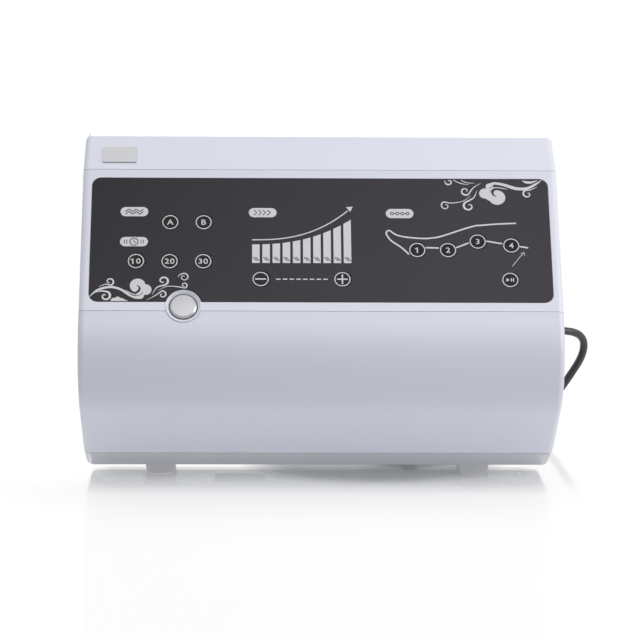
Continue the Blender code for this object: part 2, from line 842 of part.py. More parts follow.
def make_pump():
    body = extrude(rectangle(pump_width, pump_height), -pump_end, pump_end, pump_frame())
    inner = rectangle(pump_width - 2 * pump_wall, pump_height - 2 * pump_wall)
    cut(body, extrude(inner, -pump_end - overrun, pump_end + overrun, pump_frame()))
    piece("pump_body", "cast_metal", body)

    start = pump_end + gap
    sides = (("left", -1), ("right", 1))
    for name, side in sides:
        frame = pump_frame(side)
        outline = rounded_rectangle(pump_width - pump_wall, pump_height - pump_wall, pump_wall)
        head = extrude(outline, start, start + head_length, frame)
        cut(head, disc(head_pocket_radius, start - overrun, pocket_end, frame))
        piece(f"pump_head_{name}", "part_black", head)

    armature = extrude(rectangle(armature_width, armature_height), -armature_length / 2,
                       armature_length / 2, pump_frame())
    add(armature, disc(rod_radius, -rod_end, rod_end, pump_frame(), small_segments))
    for side in (-1, 1):
        add(armature, disc(head_pocket_radius - gap, rod_end - diaphragm_thickness, rod_end,
                           pump_frame(side)))
    piece("pump_armature", "steel", armature, pump_frame().to_translation())

    cavity = pump_height / 2 - pump_wall - gap
    for name, side in (("lower", -1), ("upper", 1)):
        z_low, z_high = sorted((side * (cavity - coil_height), side * cavity))
        coil = block((-coil_width / 2, z_low, -coil_length / 2),
                     (coil_width / 2, z_high, coil_length / 2), pump_frame())
        piece(f"pump_coil_{name}", "copper", coil)

    for name, side in sides:
        x = pump_x + side * (pump_end - pump_mount_inset)
        half = pump_mount_width / 2
        reach = pump_width / 2 - pump_mount_inset
        mount = block((x - half, pump_y - reach, floor_top + gap),
                      (x + half, pump_y + reach, pump_foot - gap))
        piece(f"pump_mount_{name}", "rubber_grey", mount)


# Valves and hose ports

valve_rear = case_depth - wall - gap
valve_front = valve_rear - valve_depth
valve_middle = (valve_rear + valve_front) / 2
valve_top = valve_z + valve_height / 2
plunger_seat = plunger_hold + plunger_travel


def make_valves():
    body = block((valve_x - valve_length / 2, valve_front, valve_z - valve_height / 2),
                 (valve_x + valve_length / 2, valve_rear, valve_top))
    inner_end = -wall - gap - port_shank_length
    flange_top = gap + port_flange_thickness
    plate_width = (port_count - 1) * port_pitch + 2 * port_flange_radius
    plate = rounded_rectangle(plate_width, 2 * port_flange_radius, port_flange_radius / 2)
    ports = extrude(plate, gap, flange_top, rear_at(valve_x, valve_z))
    seat = valve_top + gap
    tube_top = seat + solenoid_height
    bank = block((valve_x - plate_width / 2, valve_middle - plunger_radius - solenoid_radius,
                  tube_top - yoke_thickness),
                 (valve_x + plate_width / 2, valve_middle - plunger_radius + solenoid_radius, tube_top))
    barb = (port_reach - flange_top) / port_barbs
    nipple = [(port_shank_radius, inner_end), (port_shank_radius, flange_top - gap),
              (port_neck_radius, flange_top - gap)]
    for i in range(port_barbs):
        low = flange_top + i * barb
        nipple += [(port_barb_radius, low + barb / 3), (port_neck_radius, low + barb)]
    for number, x in enumerate(port_places(), start=1):
        frame = rear_at(x, valve_z)
        well = upright_at(x, valve_middle - plunger_radius)
        cut(body, disc(port_shank_radius + gap, inner_end - gap, overrun, frame))
        cut(body, disc(plunger_radius + gap, valve_top - plunger_seat - gap, valve_top + overrun,
                       well, small_segments))
        add(ports, turned(nipple, frame))
        cut(ports, disc(port_bore_radius, inner_end - overrun, port_reach + overrun, frame, small_segments))
        add(bank, disc(solenoid_radius - gap, seat, tube_top - yoke_thickness / 2, well))
        cut(bank, disc(plunger_radius + gap, seat - overrun, tube_top + overrun, well, small_segments))
        plunger = disc(plunger_radius, valve_top - plunger_seat, tube_top + plunger_proud,
                       well, small_segments)
        piece(f"valve_plunger_{number}", "steel", plunger, well @ Vector((0, 0, valve_top)))
    piece("valve_block", "moulded_grey", body)
    piece("hose_ports", "moulded_grey", ports)
    piece("solenoid_bank", "part_black", bank)


# Power supply, fuse and wiring

def make_supply():
    low = foot_height + supply_height
    top = low + board_thickness
    x_half, y_half = supply_length / 2, supply_width / 2
    board = block((supply_x - x_half, supply_y - y_half, low), (supply_x + x_half, supply_y + y_half, top))
    for i in range(capacitor_count):
        y = supply_y + (i - (capacitor_count - 1) / 2) * capacitor_pitch
        add(board, disc(capacitor_radius, low + board_thickness / 2, top + capacitor_height,
                        upright_at(supply_x + capacitor_shift, y), small_segments))
    piece("power_board", "board_green", board)

    seat = top + gap
    transformer_x = supply_x - transformer_shift
    frame = axes_frame((1, 0, 0), (0, 0, 1), (0, -1, 0),
                       (transformer_x, supply_y, seat + transformer_height / 2))
    half_depth = transformer_depth / 2
    core = extrude(rectangle(transformer_length, transformer_height), -half_depth, half_depth, frame)
    window_width = (transformer_length - 4 * transformer_leg) / 2
    window_height = transformer_height - 2 * transformer_leg
    for side in (-1, 1):
        window = rectangle(window_width, window_height, (side * (transformer_leg + window_width / 2), 0))
        cut(core, extrude(window, -half_depth - overrun, half_depth + overrun, frame))
    piece("transformer_core", "steel", core)
    outer = rectangle(transformer_length - 2 * transformer_leg - 2 * gap, winding_depth)
    inner = rectangle(2 * transformer_leg + 2 * gap, transformer_depth + 2 * gap)
    tall = window_height / 2 - gap
    turning = upright_at(transformer_x, supply_y, seat + transformer_height / 2)
    winding = extrude(outer, -tall, tall, turning)
    cut(winding, extrude(inner, -tall - overrun, tall + overrun, turning))
    piece("transformer_winding", "copper", winding)

    fuse = [(fuse_radius, -wall - fuse_length), (fuse_radius, gap), (fuse_cap_radius, gap),
            (fuse_cap_radius, gap + fuse_cap_thickness)]
    piece("fuse_holder", "part_black", turned(fuse, rear_at(fuse_x, inlet_z)))
    return seat


def make_ribbon(seat):
    """Flat cable from the back of the control board down to the power board."""
    start = panel @ Vector((0, ribbon_top, -board_depth - board_thickness - gap))
    leave = panel @ Vector((0, ribbon_top, -2 * board_depth))
    end_y = supply_y - supply_width / 2 + supply_post_inset
    drop = upright @ Vector((0, end_y - ribbon_drop_back, ribbon_drop_z))
    end = upright @ Vector((0, end_y, seat))
    above = end + Vector((0, 0, ribbon_drop_z / 2))
    path = smooth_points([start, leave, drop, above, end], board_depth)
    rings = []
    for i, point in enumerate(path):
        after = path[min(i + 1, len(path) - 1)]
        before = path[max(i - 1, 0)]
        direction = (after - before).normalized()
        side = Vector((0, -direction.z, direction.y)) * (ribbon_thickness / 2)
        rings.append([Vector((supply_x - ribbon_shift + sx * ribbon_width / 2, 0, 0)) + point + side * sy
                      for sx, sy in ((-1, -1), (1, -1), (1, 1), (-1, 1))])
    piece("ribbon_cable", "moulded_grey", loft(rings))


# Curves

def smooth_points(route, step):
    """Points about a step apart on one smooth curve through a route."""
    line = []
    ends = [route[0] * 2 - route[1]] + list(route) + [route[-1] * 2 - route[-2]]
    for a, b, c, d in zip(ends, ends[1:], ends[2:], ends[3:]):
        for i in range(curve_steps):
            t = i / curve_steps
            line.append((b * 2 + (c - a) * t + (a * 2 - b * 5 + c * 4 - d) * t ** 2
                         + (b * 3 - a - c * 3 + d) * t ** 3) / 2)
    line.append(route[-1])
    lengths = [0.0]
    for p, q in zip(line, line[1:]):
        lengths.append(lengths[-1] + (q - p).length)
    count = max(2, round(lengths[-1] / step))
    points, k = [], 0
    for i in range(count + 1):
        target = lengths[-1] * i / count
        while k < len(lengths) - 2 and lengths[k + 1] < target:
            k += 1
        span = lengths[k + 1] - lengths[k]
        points.append(line[k].lerp(line[k + 1], (target - lengths[k]) / span if span else 0))
    return points


def length_of(points):
    return sum((q - p).length for p, q in zip(points, points[1:]))


def tube(name, finish, points, radius, resolution):
    curve = bpy.data.curves.new(name, "CURVE")
    curve.dimensions = "3D"
    curve.bevel_depth = radius
    curve.bevel_resolution = resolution
    curve.use_fill_caps = True
    spline = curve.splines.new("POLY")
    spline.points.add(len(points) - 1)
    for item, point in zip(spline.points, points):
        item.co = (*point, 1.0)
    curve.materials.append(finish_material(finish))
    item = bpy.data.objects.new(name, curve)
    bpy.context.scene.collection.objects.link(item)
    return item


# Mains lead

coil_floor = tie_thickness + gap + cord_radius
coil_half_span = coil_wire_pitch * coil_turns_per_layer / 2
coil_outer = coil_turn_radius + coil_half_span
coil_top = coil_floor + coil_layer_rise
gland_end = case_depth + gap + gland_length

# Free stretch: out of the gland, a drooping bend beside the case, then along the floor
lead_route = (
    (0.1320, 0.2230, 0.0960), (0.1325, 0.2310, 0.0960), (0.1352, 0.2400, 0.0958),
    (0.1410, 0.2480, 0.0954), (0.1500, 0.2545, 0.0947), (0.1620, 0.2592, 0.0937),
    (0.1760, 0.2625, 0.0925), (0.1900, 0.2652, 0.0912), (0.2020, 0.2680, 0.0901),
    (0.2120, 0.2716, 0.0888), (0.2203, 0.2768, 0.0867), (0.2268, 0.2830, 0.0826),
    (0.2305, 0.2885, 0.0760), (0.2306, 0.2925, 0.0675), (0.2277, 0.2945, 0.0588),
    (0.2226, 0.2956, 0.0498), (0.2165, 0.2962, 0.0402), (0.2094, 0.2966, 0.0302),
    (0.2008, 0.2969, 0.0205), (0.1900, 0.2971, 0.0124), (0.1765, 0.2972, 0.0072),
    (0.1610, 0.2973, 0.0050), (0.1450, 0.2974, 0.0046), (0.1250, 0.2974, 0.0046),
    (0.1050, 0.2974, 0.0046),
)


def coil_points():
    """Two layers: in along the lower one, a climb where the spiral turns, out on the upper one."""
    total = 2 * coil_turns_per_layer
    points = []
    for i in range(round(total * loop_points) + 1):
        turn = i / loop_points
        along = turn if turn <= coil_turns_per_layer else total - turn
        radius = coil_outer - coil_wire_pitch * along
        climb = min(max(2 * (turn - coil_turns_per_layer) + half_share, 0), 1)
        height = coil_floor + coil_layer_rise * (1 - math.cos(math.pi * climb)) / 2
        angle = quarter_turn + full_turn * turn
        points.append(Vector((coil_x + radius * math.cos(angle),
                              coil_y + radius * math.sin(angle), height)))
    return points


def least_self_gap(points):
    least = case_width
    for i, p in enumerate(points):
        for q in points[i + loop_points // 2:]:
            least = min(least, (p - q).length)
    return least - 2 * cord_radius


def in_part(points):
    return [upright @ point for point in points]


def make_lead():
    diameter = 2 * cord_radius
    start = Vector((gland_x, gland_end + gap, inlet_z))
    coil_back = coil_y + coil_outer
    coil_entry = Vector((coil_x + diameter, coil_back, coil_floor))
    route = [start] + [Vector(point) for point in lead_route]
    route.append(coil_entry + Vector((gap, 0, 0)))
    free = smooth_points(route, cord_step)
    tube("power_cord", "cord_black", in_part(free), cord_radius, 2)

    sleeve_x = coil_x - coil_outer - diameter
    rest = plug_thickness / 2 + floor_clearance
    drop = coil_top - rest
    tail = [Vector((coil_x - diameter, coil_back, coil_top))]
    tail_shares = ((0.25, 0.0), (0.45, 0.12), (0.65, 0.55), (0.82, 0.92))
    run = tail[0].x - sleeve_x - diameter
    tail += [Vector((tail[0].x - share * run, coil_back, coil_top - fall * drop))
             for share, fall in tail_shares]
    tail += [Vector((sleeve_x + diameter, coil_back, rest)), Vector((sleeve_x + gap, coil_back, rest))]
    wound = [coil_entry] + coil_points() + smooth_points(tail, diameter)
    tube("power_cord_coil", "cord_black", in_part(wound), cord_radius, 1)
    print("cord length", round(length_of(free) + length_of(wound), 3), "m")
    print("coil gap", round(least_self_gap(wound) * 1000, 2), "mm")

    bundle_width = 2 * coil_wire_pitch + diameter + 2 * tie_slack
    bundle_height = coil_layer_rise + diameter + 2 * gap
    middle = (coil_y - coil_turn_radius, coil_floor + coil_layer_rise / 2)
    grow = 2 * tie_thickness
    outer = rounded_rectangle(bundle_width + grow, bundle_height + grow, cord_radius, middle)
    inner = rounded_rectangle(bundle_width, bundle_height, cord_radius - tie_thickness, middle)
    half = tie_width / 2
    strap = extrude(outer, coil_x - half, coil_x + half, across_case)
    cut(strap, extrude(inner, coil_x - half - overrun, coil_x + half + overrun, across_case))
    piece("cord_tie", "part_black", strap)
    make_plug(sleeve_x, coil_back, rest)


def make_plug(x, y, z):
    frame = axes_frame((0, -1, 0), (0, 0, 1), (-1, 0, 0), (x, y, z))
    sleeve = 2 * plug_sleeve_radius
    shoulder = plug_sleeve_length
    sections = [
        (0, sleeve - 2 * gland_rib_depth, sleeve - 2 * gland_rib_depth),
        (shoulder, sleeve + gland_rib_depth, sleeve + gland_rib_depth),
    ]
    sections += [(shoulder + plug_length * along, plug_width * wide, plug_thickness * tall)
                 for along, wide, tall in plug_section_shares]
    rings = []
    for height, wide, tall in sections:
        radius = tall * plug_corner_share
        rings.append([frame @ Vector((px, py, height))
                      for px, py in rounded_rectangle(wide, tall, radius)])
    body = loft(rings)
    face = shoulder + plug_length
    insert_width, insert_height = pin_pitch + 4 * pin_radius, 4 * pin_radius
    pocket = rectangle(insert_width + 2 * gap, insert_height + 2 * gap)
    cut(body, extrude(pocket, face - pin_root - gap, face + overrun, frame))
    piece("plug_body", "cord_black", body)
    pins = extrude(rectangle(insert_width, insert_height), face - pin_root, face, frame)
    for side in (-1, 1):
        add(pins, disc(pin_radius, face - pin_root / 2, face + pin_length,
                       frame @ Matrix.Translation((side * pin_pitch / 2, 0, 0)), small_segments))
    piece("plug_pins", "nickel", pins)


def make_gland():
    ribs = []
    run = gland_length - gland_flange_thickness
    for i in range(gland_ribs):
        low = i / gland_ribs
        middle = (i + half_share) / gland_ribs
        for share, sunk in ((low, 0), (middle, 0), (middle, 1), (low + 1 / gland_ribs, 1)):
            radius = gland_radius + (gland_tip_radius - gland_radius) * share
            ribs.append((radius - sunk * gland_rib_depth, gap + gland_flange_thickness + run * share))
    outline = [(gland_radius, -wall - gland_inner_length), (gland_radius, gap),
               (gland_flange_radius, gap), (gland_flange_radius, gap + gland_flange_thickness)]
    piece("cord_gland", "cord_black", turned(outline + ribs, rear_at(gland_x, inlet_z)))


def make_air_tube():
    """From the left pump head up to the valve block's front face."""
    x = pump_x - pump_end - head_length / 2
    head_top = pump_axis_z + (pump_height - pump_wall) / 2
    bend = valve_front - pump_y - 2 * tube_radius
    bend_share = 0.3
    route = [Vector((x, pump_y, head_top + gap)), Vector((x, pump_y, head_top + tube_radius)),
             Vector((x, pump_y, valve_z - bend)),
             Vector((x, pump_y + bend * bend_share, valve_z - bend * bend_share)),
             Vector((x, pump_y + bend, valve_z)),
             Vector((x, valve_front - gap, valve_z))]
    tube("air_supply_tube", "tube_clear", in_part(smooth_points(route, tube_radius)), tube_radius, 2)


clear_scene()
make_front_case()
make_bezel()
make_overlay()
make_keys()
make_power_button()
make_power_switch()
make_control_board()
make_badge()
make_base_tray()
make_rear_cover()
make_feet_and_screws()
make_pump()
make_valves()
make_air_tube()
make_ribbon(make_supply())
make_gland()
make_lead()
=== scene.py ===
"""Looks of the compression therapy pump: shells, printed panel, mains lead, stage and light.

Metres, +Z up; the prints are drawn in millimetres. The lengths are those of the solids under the
pieces, but for the film's height and the key stems' ends, which are a little shorter.
"""
import math

import bmesh
import bpy
from mathutils import Matrix, Vector


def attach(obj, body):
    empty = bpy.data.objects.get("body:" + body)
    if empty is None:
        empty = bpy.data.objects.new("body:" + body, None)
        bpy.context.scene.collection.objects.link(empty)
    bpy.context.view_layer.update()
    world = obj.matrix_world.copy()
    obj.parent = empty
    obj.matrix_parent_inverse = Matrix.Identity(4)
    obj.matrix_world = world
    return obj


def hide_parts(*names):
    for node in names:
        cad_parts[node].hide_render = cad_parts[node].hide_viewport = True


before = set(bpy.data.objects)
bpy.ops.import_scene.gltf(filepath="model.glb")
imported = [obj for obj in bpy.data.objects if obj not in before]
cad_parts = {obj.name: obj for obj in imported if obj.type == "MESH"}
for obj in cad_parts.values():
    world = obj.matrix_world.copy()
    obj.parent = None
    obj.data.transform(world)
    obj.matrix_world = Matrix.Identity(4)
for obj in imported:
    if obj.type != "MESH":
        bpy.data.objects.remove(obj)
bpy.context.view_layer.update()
mm = 0.001
quarter_turn = math.pi / 2
full_turn = 2 * math.pi

# Case
case_width = 0.365
underside_depth = 0.0686
wall = 0.0026
side_fillet = 0.005
gap = 0.0003
half_gap = gap / 2
overrun = 0.002
foot_height = 0.009
base_wall_length = 0.0408
base_lean = math.radians(65.0)
under_length = 0.0666
under_lean = math.radians(50.5)
nose_radius = 0.0523
nose_drop = 0.0082
panel_height = 0.1228
panel_lean = math.radians(36.9)
strip_length = 0.0455
strip_lean = math.radians(61.1)
strip_blend_radius = 0.006
rear_top_radius = 0.012
rear_bottom_radius = 0.0065
seam_lean = math.radians(20.0)
rear_cover_depth = 0.030
bezel_depth = 0.014
ledge_reach = 0.004
ledge_thickness = 0.002
edge_round = 0.0004

# Control panel
overlay_width = 0.350
overlay_height = 0.1075
overlay_foot = 0.0077
overlay_corner = 0.007
overlay_thickness = 0.0005
key_radius = 0.0066
key_cap_thickness = 0.0023
key_stem_radius = 0.002
key_stem_end = 0.0075
key_edge = 0.00025
key_places = {
    "mode_a": (-0.1142, 0.0763), "mode_b": (-0.0888, 0.0763),
    "time_10": (-0.1396, 0.0424), "time_20": (-0.1142, 0.0424), "time_30": (-0.0888, 0.0424),
    "pressure_down": (-0.0453, 0.0273), "pressure_up": (0.0164, 0.0273),
    "position_1": (0.0736, 0.0527), "position_2": (0.0970, 0.0527),
    "position_3": (0.1198, 0.0602), "position_4": (0.1453, 0.0568),
    "start": (0.1434, 0.0271),
}
lobe_x = -0.1038
lobe_up = 0.0040
lobe_radius = 0.0136
lobe_rim_rise = 0.0005
lobe_rim_width = 0.0009
lobe_dish = 0.0010
collar_wall = 0.0015
collar_depth = 0.008
button_radius = 0.0102
bore_radius = 0.0109
button_rise = 0.0009
button_bevel = 0.0016
button_lip = 0.0004
button_flange_top = 0.0015
button_flange_end = 0.0029
button_stem_radius = 0.002
button_stem_end = 0.0067

# Badge plate, screws, feet and vents
badge_size = (0.0262, 0.0200)
badge_corner = 0.001
badge_thickness = 0.0008
badge_place = (-0.1548, 0.0188)
screw_head_radius = 0.0030
screw_head_height = 0.002
screw_radius = 0.0014
screw_bite = 0.006
screw_recess = 0.0011
screw_edge = 0.0002
screw_turns = 6
base_screw_x = 0.166
base_screw_ends = (0.0116, 0.0526)
rear_screw_x = 0.168
rear_screw_heights = (0.050, 0.228)
foot_radius = 0.012
foot_taper = 0.001
foot_dimple = 0.0008
foot_x = 0.125
foot_ends = (0.0166, 0.0526)
vent_length = 0.052
vent_height = 0.003
vent_pitch = 0.0075
vent_count = 6
vent_x = 0.085
vent_foot = 0.185
floor_vent_length = 0.040
floor_vent_count = 4
floor_vent_x = 0.062
floor_vent_front = 0.0206

# Hose ports, fuse holder and lead entry in the rear wall
port_places = (-0.121, -0.097, -0.073, -0.049)
port_middle = -0.085
port_z = 0.108
port_plate = (0.088, 0.016)
port_plate_corner = 0.004
port_plate_thickness = 0.0025
port_shank_radius = 0.006
port_barb_radius = 0.005
port_neck_radius = 0.0042
port_bore_radius = 0.0025
port_reach = 0.014
port_inner = 0.0109
port_barbs = 2
fuse_x = 0.098
inlet_z = 0.096
fuse_radius = 0.006
fuse_length = 0.026
fuse_cap_radius = 0.008
fuse_cap_thickness = 0.003
fuse_cap_edge = 0.0005
fuse_slot = (0.0096, 0.0014)
gland_x = 0.132
gland_radius = 0.0068
gland_flange_radius = 0.010
gland_flange_thickness = 0.003
gland_tip_radius = 0.0046
gland_length = 0.040
gland_inner_length = 0.012
gland_ribs = 9
gland_rib_depth = 0.0009

# Mains lead
cord_radius = 0.0033
coil_x = 0.078
coil_y = 0.250
coil_turn_radius = 0.0372
coil_turns_per_layer = 3
coil_wire_pitch = 0.0072
coil_layer_rise = 0.0072
coil_loop_points = 48
tie_thickness = 0.001
tie_width = 0.012
tie_slack = 0.0015
floor_clearance = 0.0001
plug_width = 0.035
plug_thickness = 0.0137
plug_length = 0.036
plug_sleeve_length = 0.024
plug_sleeve_radius = 0.0048
plug_insert = (0.0266, 0.008)
plug_ribs = 6
plug_roundness = 0.46
# Along the plug, in shares of its length, width and thickness
plug_sections = (
    (0, 0.30, 0.74), (0.05, 0.46, 0.84), (0.10, 0.60, 0.90), (0.17, 0.74, 0.95), (0.25, 0.88, 0.98),
    (0.34, 0.97, 1), (0.42, 1, 1), (0.86, 1, 1), (0.93, 0.985, 0.975), (0.975, 0.96, 0.94),
    (1, 0.92, 0.88),
)
# From the coil's end to the plug, in shares of the run and of the drop
plug_fall = ((0, 0), (0.25, 0), (0.45, 0.12), (0.65, 0.55), (0.82, 0.92), (1, 1))
pin_radius = 0.002
pin_length = 0.019
pin_pitch = 0.0186
pin_root = 0.003

# Print on the film: the ink's own height in metres, its strokes in millimetres
print_height = 0.00002
print_step = 0.0000012
print_sink = 0.00001
print_set_left = 0.0005
cap_angles = [math.radians(angle) for angle in (25, 50, 72, 86)]
letter_height = 4.5
stem_start = 0.2
scroll_steps = 9
key_ring_diameter = 11.4
key_ring_width = 0.75

# How finely round shapes are drawn
round_segments = 48
ring_segments = 96
fillet_steps = 8
nose_steps = 44
blend_steps = 8
corner_steps = 10
curve_steps = 24
smooth_limit = math.radians(32)

# Surfaces
mid_grey = (0.5, 0.5, 0.5, 1)
grain_height = 0.00004
band_height = 0.0002
track_height = 0.00005
# Where the film's painted light is at its palest, towards the right side that is lit more brightly
film_painted_light_x = overlay_width * 0.37

# Camera, its turns in degrees
camera_place = (-0.0505, -2.1346, 0.4824)
camera_turns = (-1.3735, 9.451, 0.369)
camera_lens = 156.15
camera_far_end = 60

# Floor and sky; a span is a start and an end, and the values there
white = (1, 1, 1, 1)
table_tone = (0.80, 0.80, 0.81, 1)
shade_tone = (0.95, 0.95, 0.95, 1)
# Painted shadow: the tone of a darker floor patch under the middle and right of the case
painted_shadow_tone = (0.80, 0.80, 0.80, 1)
floor_size = 40
glow_span = (0.70, 0.25)
bare_span = (0.45, 0.95, 0.30, 0.0)
mirror_roughness = 0.09
mirror_front = (-0.066, 0.032, 0.06, 0.84)
mirror_side = (0.174, 0.186, 1.0, 0.25)
# Painted shade on the floor's reflection: the mirror's colour is darkened in a band under the
# case's front, fading out towards the sides
reflection_shade_front = (-0.012, 0.032, 0.0, 0.24)
reflection_shade_back = (0.042, 0.0475, 1.0, 0.0)
reflection_shade_sides = (0.160, 0.178, 1.0, 0.0)
# The painted shadow patch on the floor: its middle, its reach in X and Y, and how its edge fades
shadow_middle = (0.045, 0.062, 0)
shadow_reach = (0.115, 0.090, 1)
shadow_edge = (1.0, 0.6, 0.0, 0.8)
sky_span = (0.42, 1.0, 0.0, 1.66)


def place_camera():
    """The photograph's view; its turns are yaw, downward pitch and roll, in degrees."""
    yaw, pitch, roll = (math.radians(turn) for turn in camera_turns)
    turn = Matrix.Rotation(yaw, 3, "Z")
    right = turn @ Vector((1, 0, 0))
    forward = turn @ Vector((0, math.cos(pitch), -math.sin(pitch)))
    up = turn @ Vector((0, math.sin(pitch), math.cos(pitch)))
    across = right * math.cos(roll) + up * math.sin(roll)
    above = up * math.cos(roll) - right * math.sin(roll)
    data = bpy.data.cameras.new("front_camera")
    data.lens = camera_lens
    data.clip_end = camera_far_end
    camera = bpy.data.objects.new("front_camera", data)
    bpy.context.scene.collection.objects.link(camera)
    place = Matrix((across, above, -forward)).transposed().to_4x4()
    camera.matrix_world = Matrix.Translation(camera_place) @ place
    bpy.context.scene.camera = camera


# Outlines

def circle(radius, segments=round_segments, centre=(0, 0)):
    return [(centre[0] + radius * math.cos(full_turn * i / segments),
             centre[1] + radius * math.sin(full_turn * i / segments)) for i in range(segments)]


def rectangle(width, height, centre=(0, 0)):
    x, y = width / 2, height / 2
    return [(centre[0] + sx * x, centre[1] + sy * y)
            for sx, sy in ((-1, -1), (1, -1), (1, 1), (-1, 1))]


def rounded_rectangle(width, height, radius, centre=(0, 0)):
    points = []
    x, y = width / 2 - radius, height / 2 - radius
    for corner, (sx, sy) in enumerate(((1, 1), (-1, 1), (-1, -1), (1, -1))):
        for i in range(corner_steps + 1):
            angle = quarter_turn * (corner + i / corner_steps)
            points.append((centre[0] + sx * x + radius * math.cos(angle),
                           centre[1] + sy * y + radius * math.sin(angle)))
    return points


def round_corner(before, corner, after, radius, steps):
    """Arc of a radius that replaces the corner between two straight runs."""
    a = (before - corner).normalized()
    b = (after - corner).normalized()
    half = a.angle(b) / 2
    centre = corner + (a + b).normalized() * (radius / math.sin(half))
    start = corner + a * (radius / math.tan(half)) - centre
    end = corner + b * (radius / math.tan(half)) - centre
    sweep = start.angle_signed(end)
    return [centre + Matrix.Rotation(-sweep * i / steps, 2) @ start for i in range(steps + 1)]


def side_profile():
    """The case's outline in Y and Z, from the front edge up and over, and its seam points."""
    def run(lean, length):
        return Vector((math.sin(lean), math.cos(lean))) * length

    front_edge = Vector((0, foot_height))
    base_seam = front_edge + run(-base_lean, base_wall_length)
    nose_start = base_seam + run(-under_lean, under_length)
    nose_centre = nose_start + Vector((math.cos(under_lean), math.sin(under_lean))) * nose_radius
    shift = Vector((nose_radius - nose_centre.x, 0))
    front_edge, base_seam, nose_centre = front_edge + shift, base_seam + shift, nose_centre + shift

    nose = []
    for i in range(nose_steps + 1):
        angle = -under_lean + (under_lean + panel_lean) * i / nose_steps
        nose.append(nose_centre + Vector((-math.cos(angle), math.sin(angle))) * nose_radius)
    lower_seam = nose[-1] + run(panel_lean, nose_drop)
    upper_seam = lower_seam + run(panel_lean, panel_height)
    strip_end = upper_seam + run(strip_lean, strip_length)
    rear_top = Vector((front_edge.x + underside_depth, strip_end.y))
    rear_bottom = Vector((rear_top.x, foot_height))

    points = [front_edge, base_seam, *nose, lower_seam, upper_seam]
    points += round_corner(upper_seam, strip_end, rear_top, strip_blend_radius, blend_steps)
    points += round_corner(strip_end, rear_top, rear_bottom, rear_top_radius, fillet_steps)
    points += round_corner(rear_top, rear_bottom, front_edge, rear_bottom_radius, blend_steps)
    return points, base_seam, lower_seam, upper_seam, strip_end


profile, base_seam, lower_seam, upper_seam, strip_end = side_profile()
front_edge = profile[0].x
case_depth = front_edge + underside_depth
floor_top = foot_height + wall
case_top = strip_end.y
rear_part_line = case_depth - rear_cover_depth
block_floor = base_seam.y + half_gap
origin_shift = Matrix.Translation((0, -(case_depth + port_reach) / 2, 0))
overlay_centre = (0, overlay_foot + overlay_height / 2)


def inset(points, distance):
    """The closed outline moved inwards; it runs clockwise."""
    moved = []
    for i, point in enumerate(points):
        before = (point - points[i - 1]).normalized()
        after = (points[(i + 1) % len(points)] - point).normalized()
        first = Vector((before.y, -before.x))
        second = Vector((after.y, -after.x))
        moved.append(point + (first + second) * (distance / (1 + first.dot(second))))
    return moved


# Frames: each maps an outline's x and y, and its height z, into the part

def axes_frame(x_axis, y_axis, z_axis, origin):
    columns = Matrix((x_axis, y_axis, z_axis)).transposed().to_4x4()
    return origin_shift @ Matrix.Translation(origin) @ columns


def leaning_frame(lean, seam):
    slope_up = (0, math.sin(lean), math.cos(lean))
    slope_out = (0, -math.cos(lean), math.sin(lean))
    return axes_frame((1, 0, 0), slope_up, slope_out, (0, seam.x, seam.y))


across_case = axes_frame((0, 1, 0), (0, 0, 1), (1, 0, 0), (0, 0, 0))
upright = axes_frame((1, 0, 0), (0, 1, 0), (0, 0, 1), (0, 0, 0))
panel = leaning_frame(panel_lean, lower_seam)
strip = leaning_frame(strip_lean, upper_seam)
rear = axes_frame((-1, 0, 0), (0, 0, 1), (0, 1, 0), (0, case_depth, 0))


def rear_at(x, z):
    return rear @ Matrix.Translation((-x, z, 0))


def panel_at(x, up_slope):
    return panel @ Matrix.Translation((x, up_slope, 0))


def upright_at(x, y, z=0):
    return upright @ Matrix.Translation((x, y, z))


# Solids

def add_loft(shape, rings, closed=False):
    """Faces through rings of points; a closed loft joins its last ring to its first."""
    rows = [[shape.verts.new(point) for point in ring] for ring in rings]
    pairs = list(zip(rows, rows[1:]))
    if closed:
        pairs.append((rows[-1], rows[0]))
    else:
        shape.faces.new(rows[0])
        shape.faces.new(rows[-1])
    for low, high in pairs:
        for i in range(len(low)):
            j = (i + 1) % len(low)
            shape.faces.new((low[i], low[j], high[j], high[i]))


def solid_from(shape):
    bmesh.ops.recalc_face_normals(shape, faces=shape.faces)
    mesh = bpy.data.meshes.new("solid")
    shape.to_mesh(mesh)
    shape.free()
    solid = bpy.data.objects.new("solid", mesh)
    bpy.context.scene.collection.objects.link(solid)
    return solid


def loft(rings, closed=False):
    shape = bmesh.new()
    add_loft(shape, rings, closed)
    return solid_from(shape)


def prism_rings(outline, low, high, place):
    return [[place @ Vector((x, y, z)) for x, y in outline] for z in (low, high)]


def prisms(outlines, low, high, place=upright):
    """One or several prisms in one mesh."""
    shape = bmesh.new()
    for outline in outlines:
        add_loft(shape, prism_rings(outline, low, high, place))
    return solid_from(shape)


def extrude(outline, low, high, place=upright):
    return prisms([outline], low, high, place)


def block(low, high, place=upright):
    outline = [(low[0], low[1]), (high[0], low[1]), (high[0], high[1]), (low[0], high[1])]
    return extrude(outline, low[2], high[2], place)


def disc(radius, low, high, place=upright, segments=round_segments):
    return extrude(circle(radius, segments), low, high, place)


def turned(profile_points, place=upright, segments=round_segments, closed=False):
    """A turned solid from radius and height pairs; a closed profile leaves a bore."""
    rings = [[place @ Vector((x, y, height)) for x, y in circle(radius, segments)]
             for radius, height in profile_points]
    return loft(rings, closed)


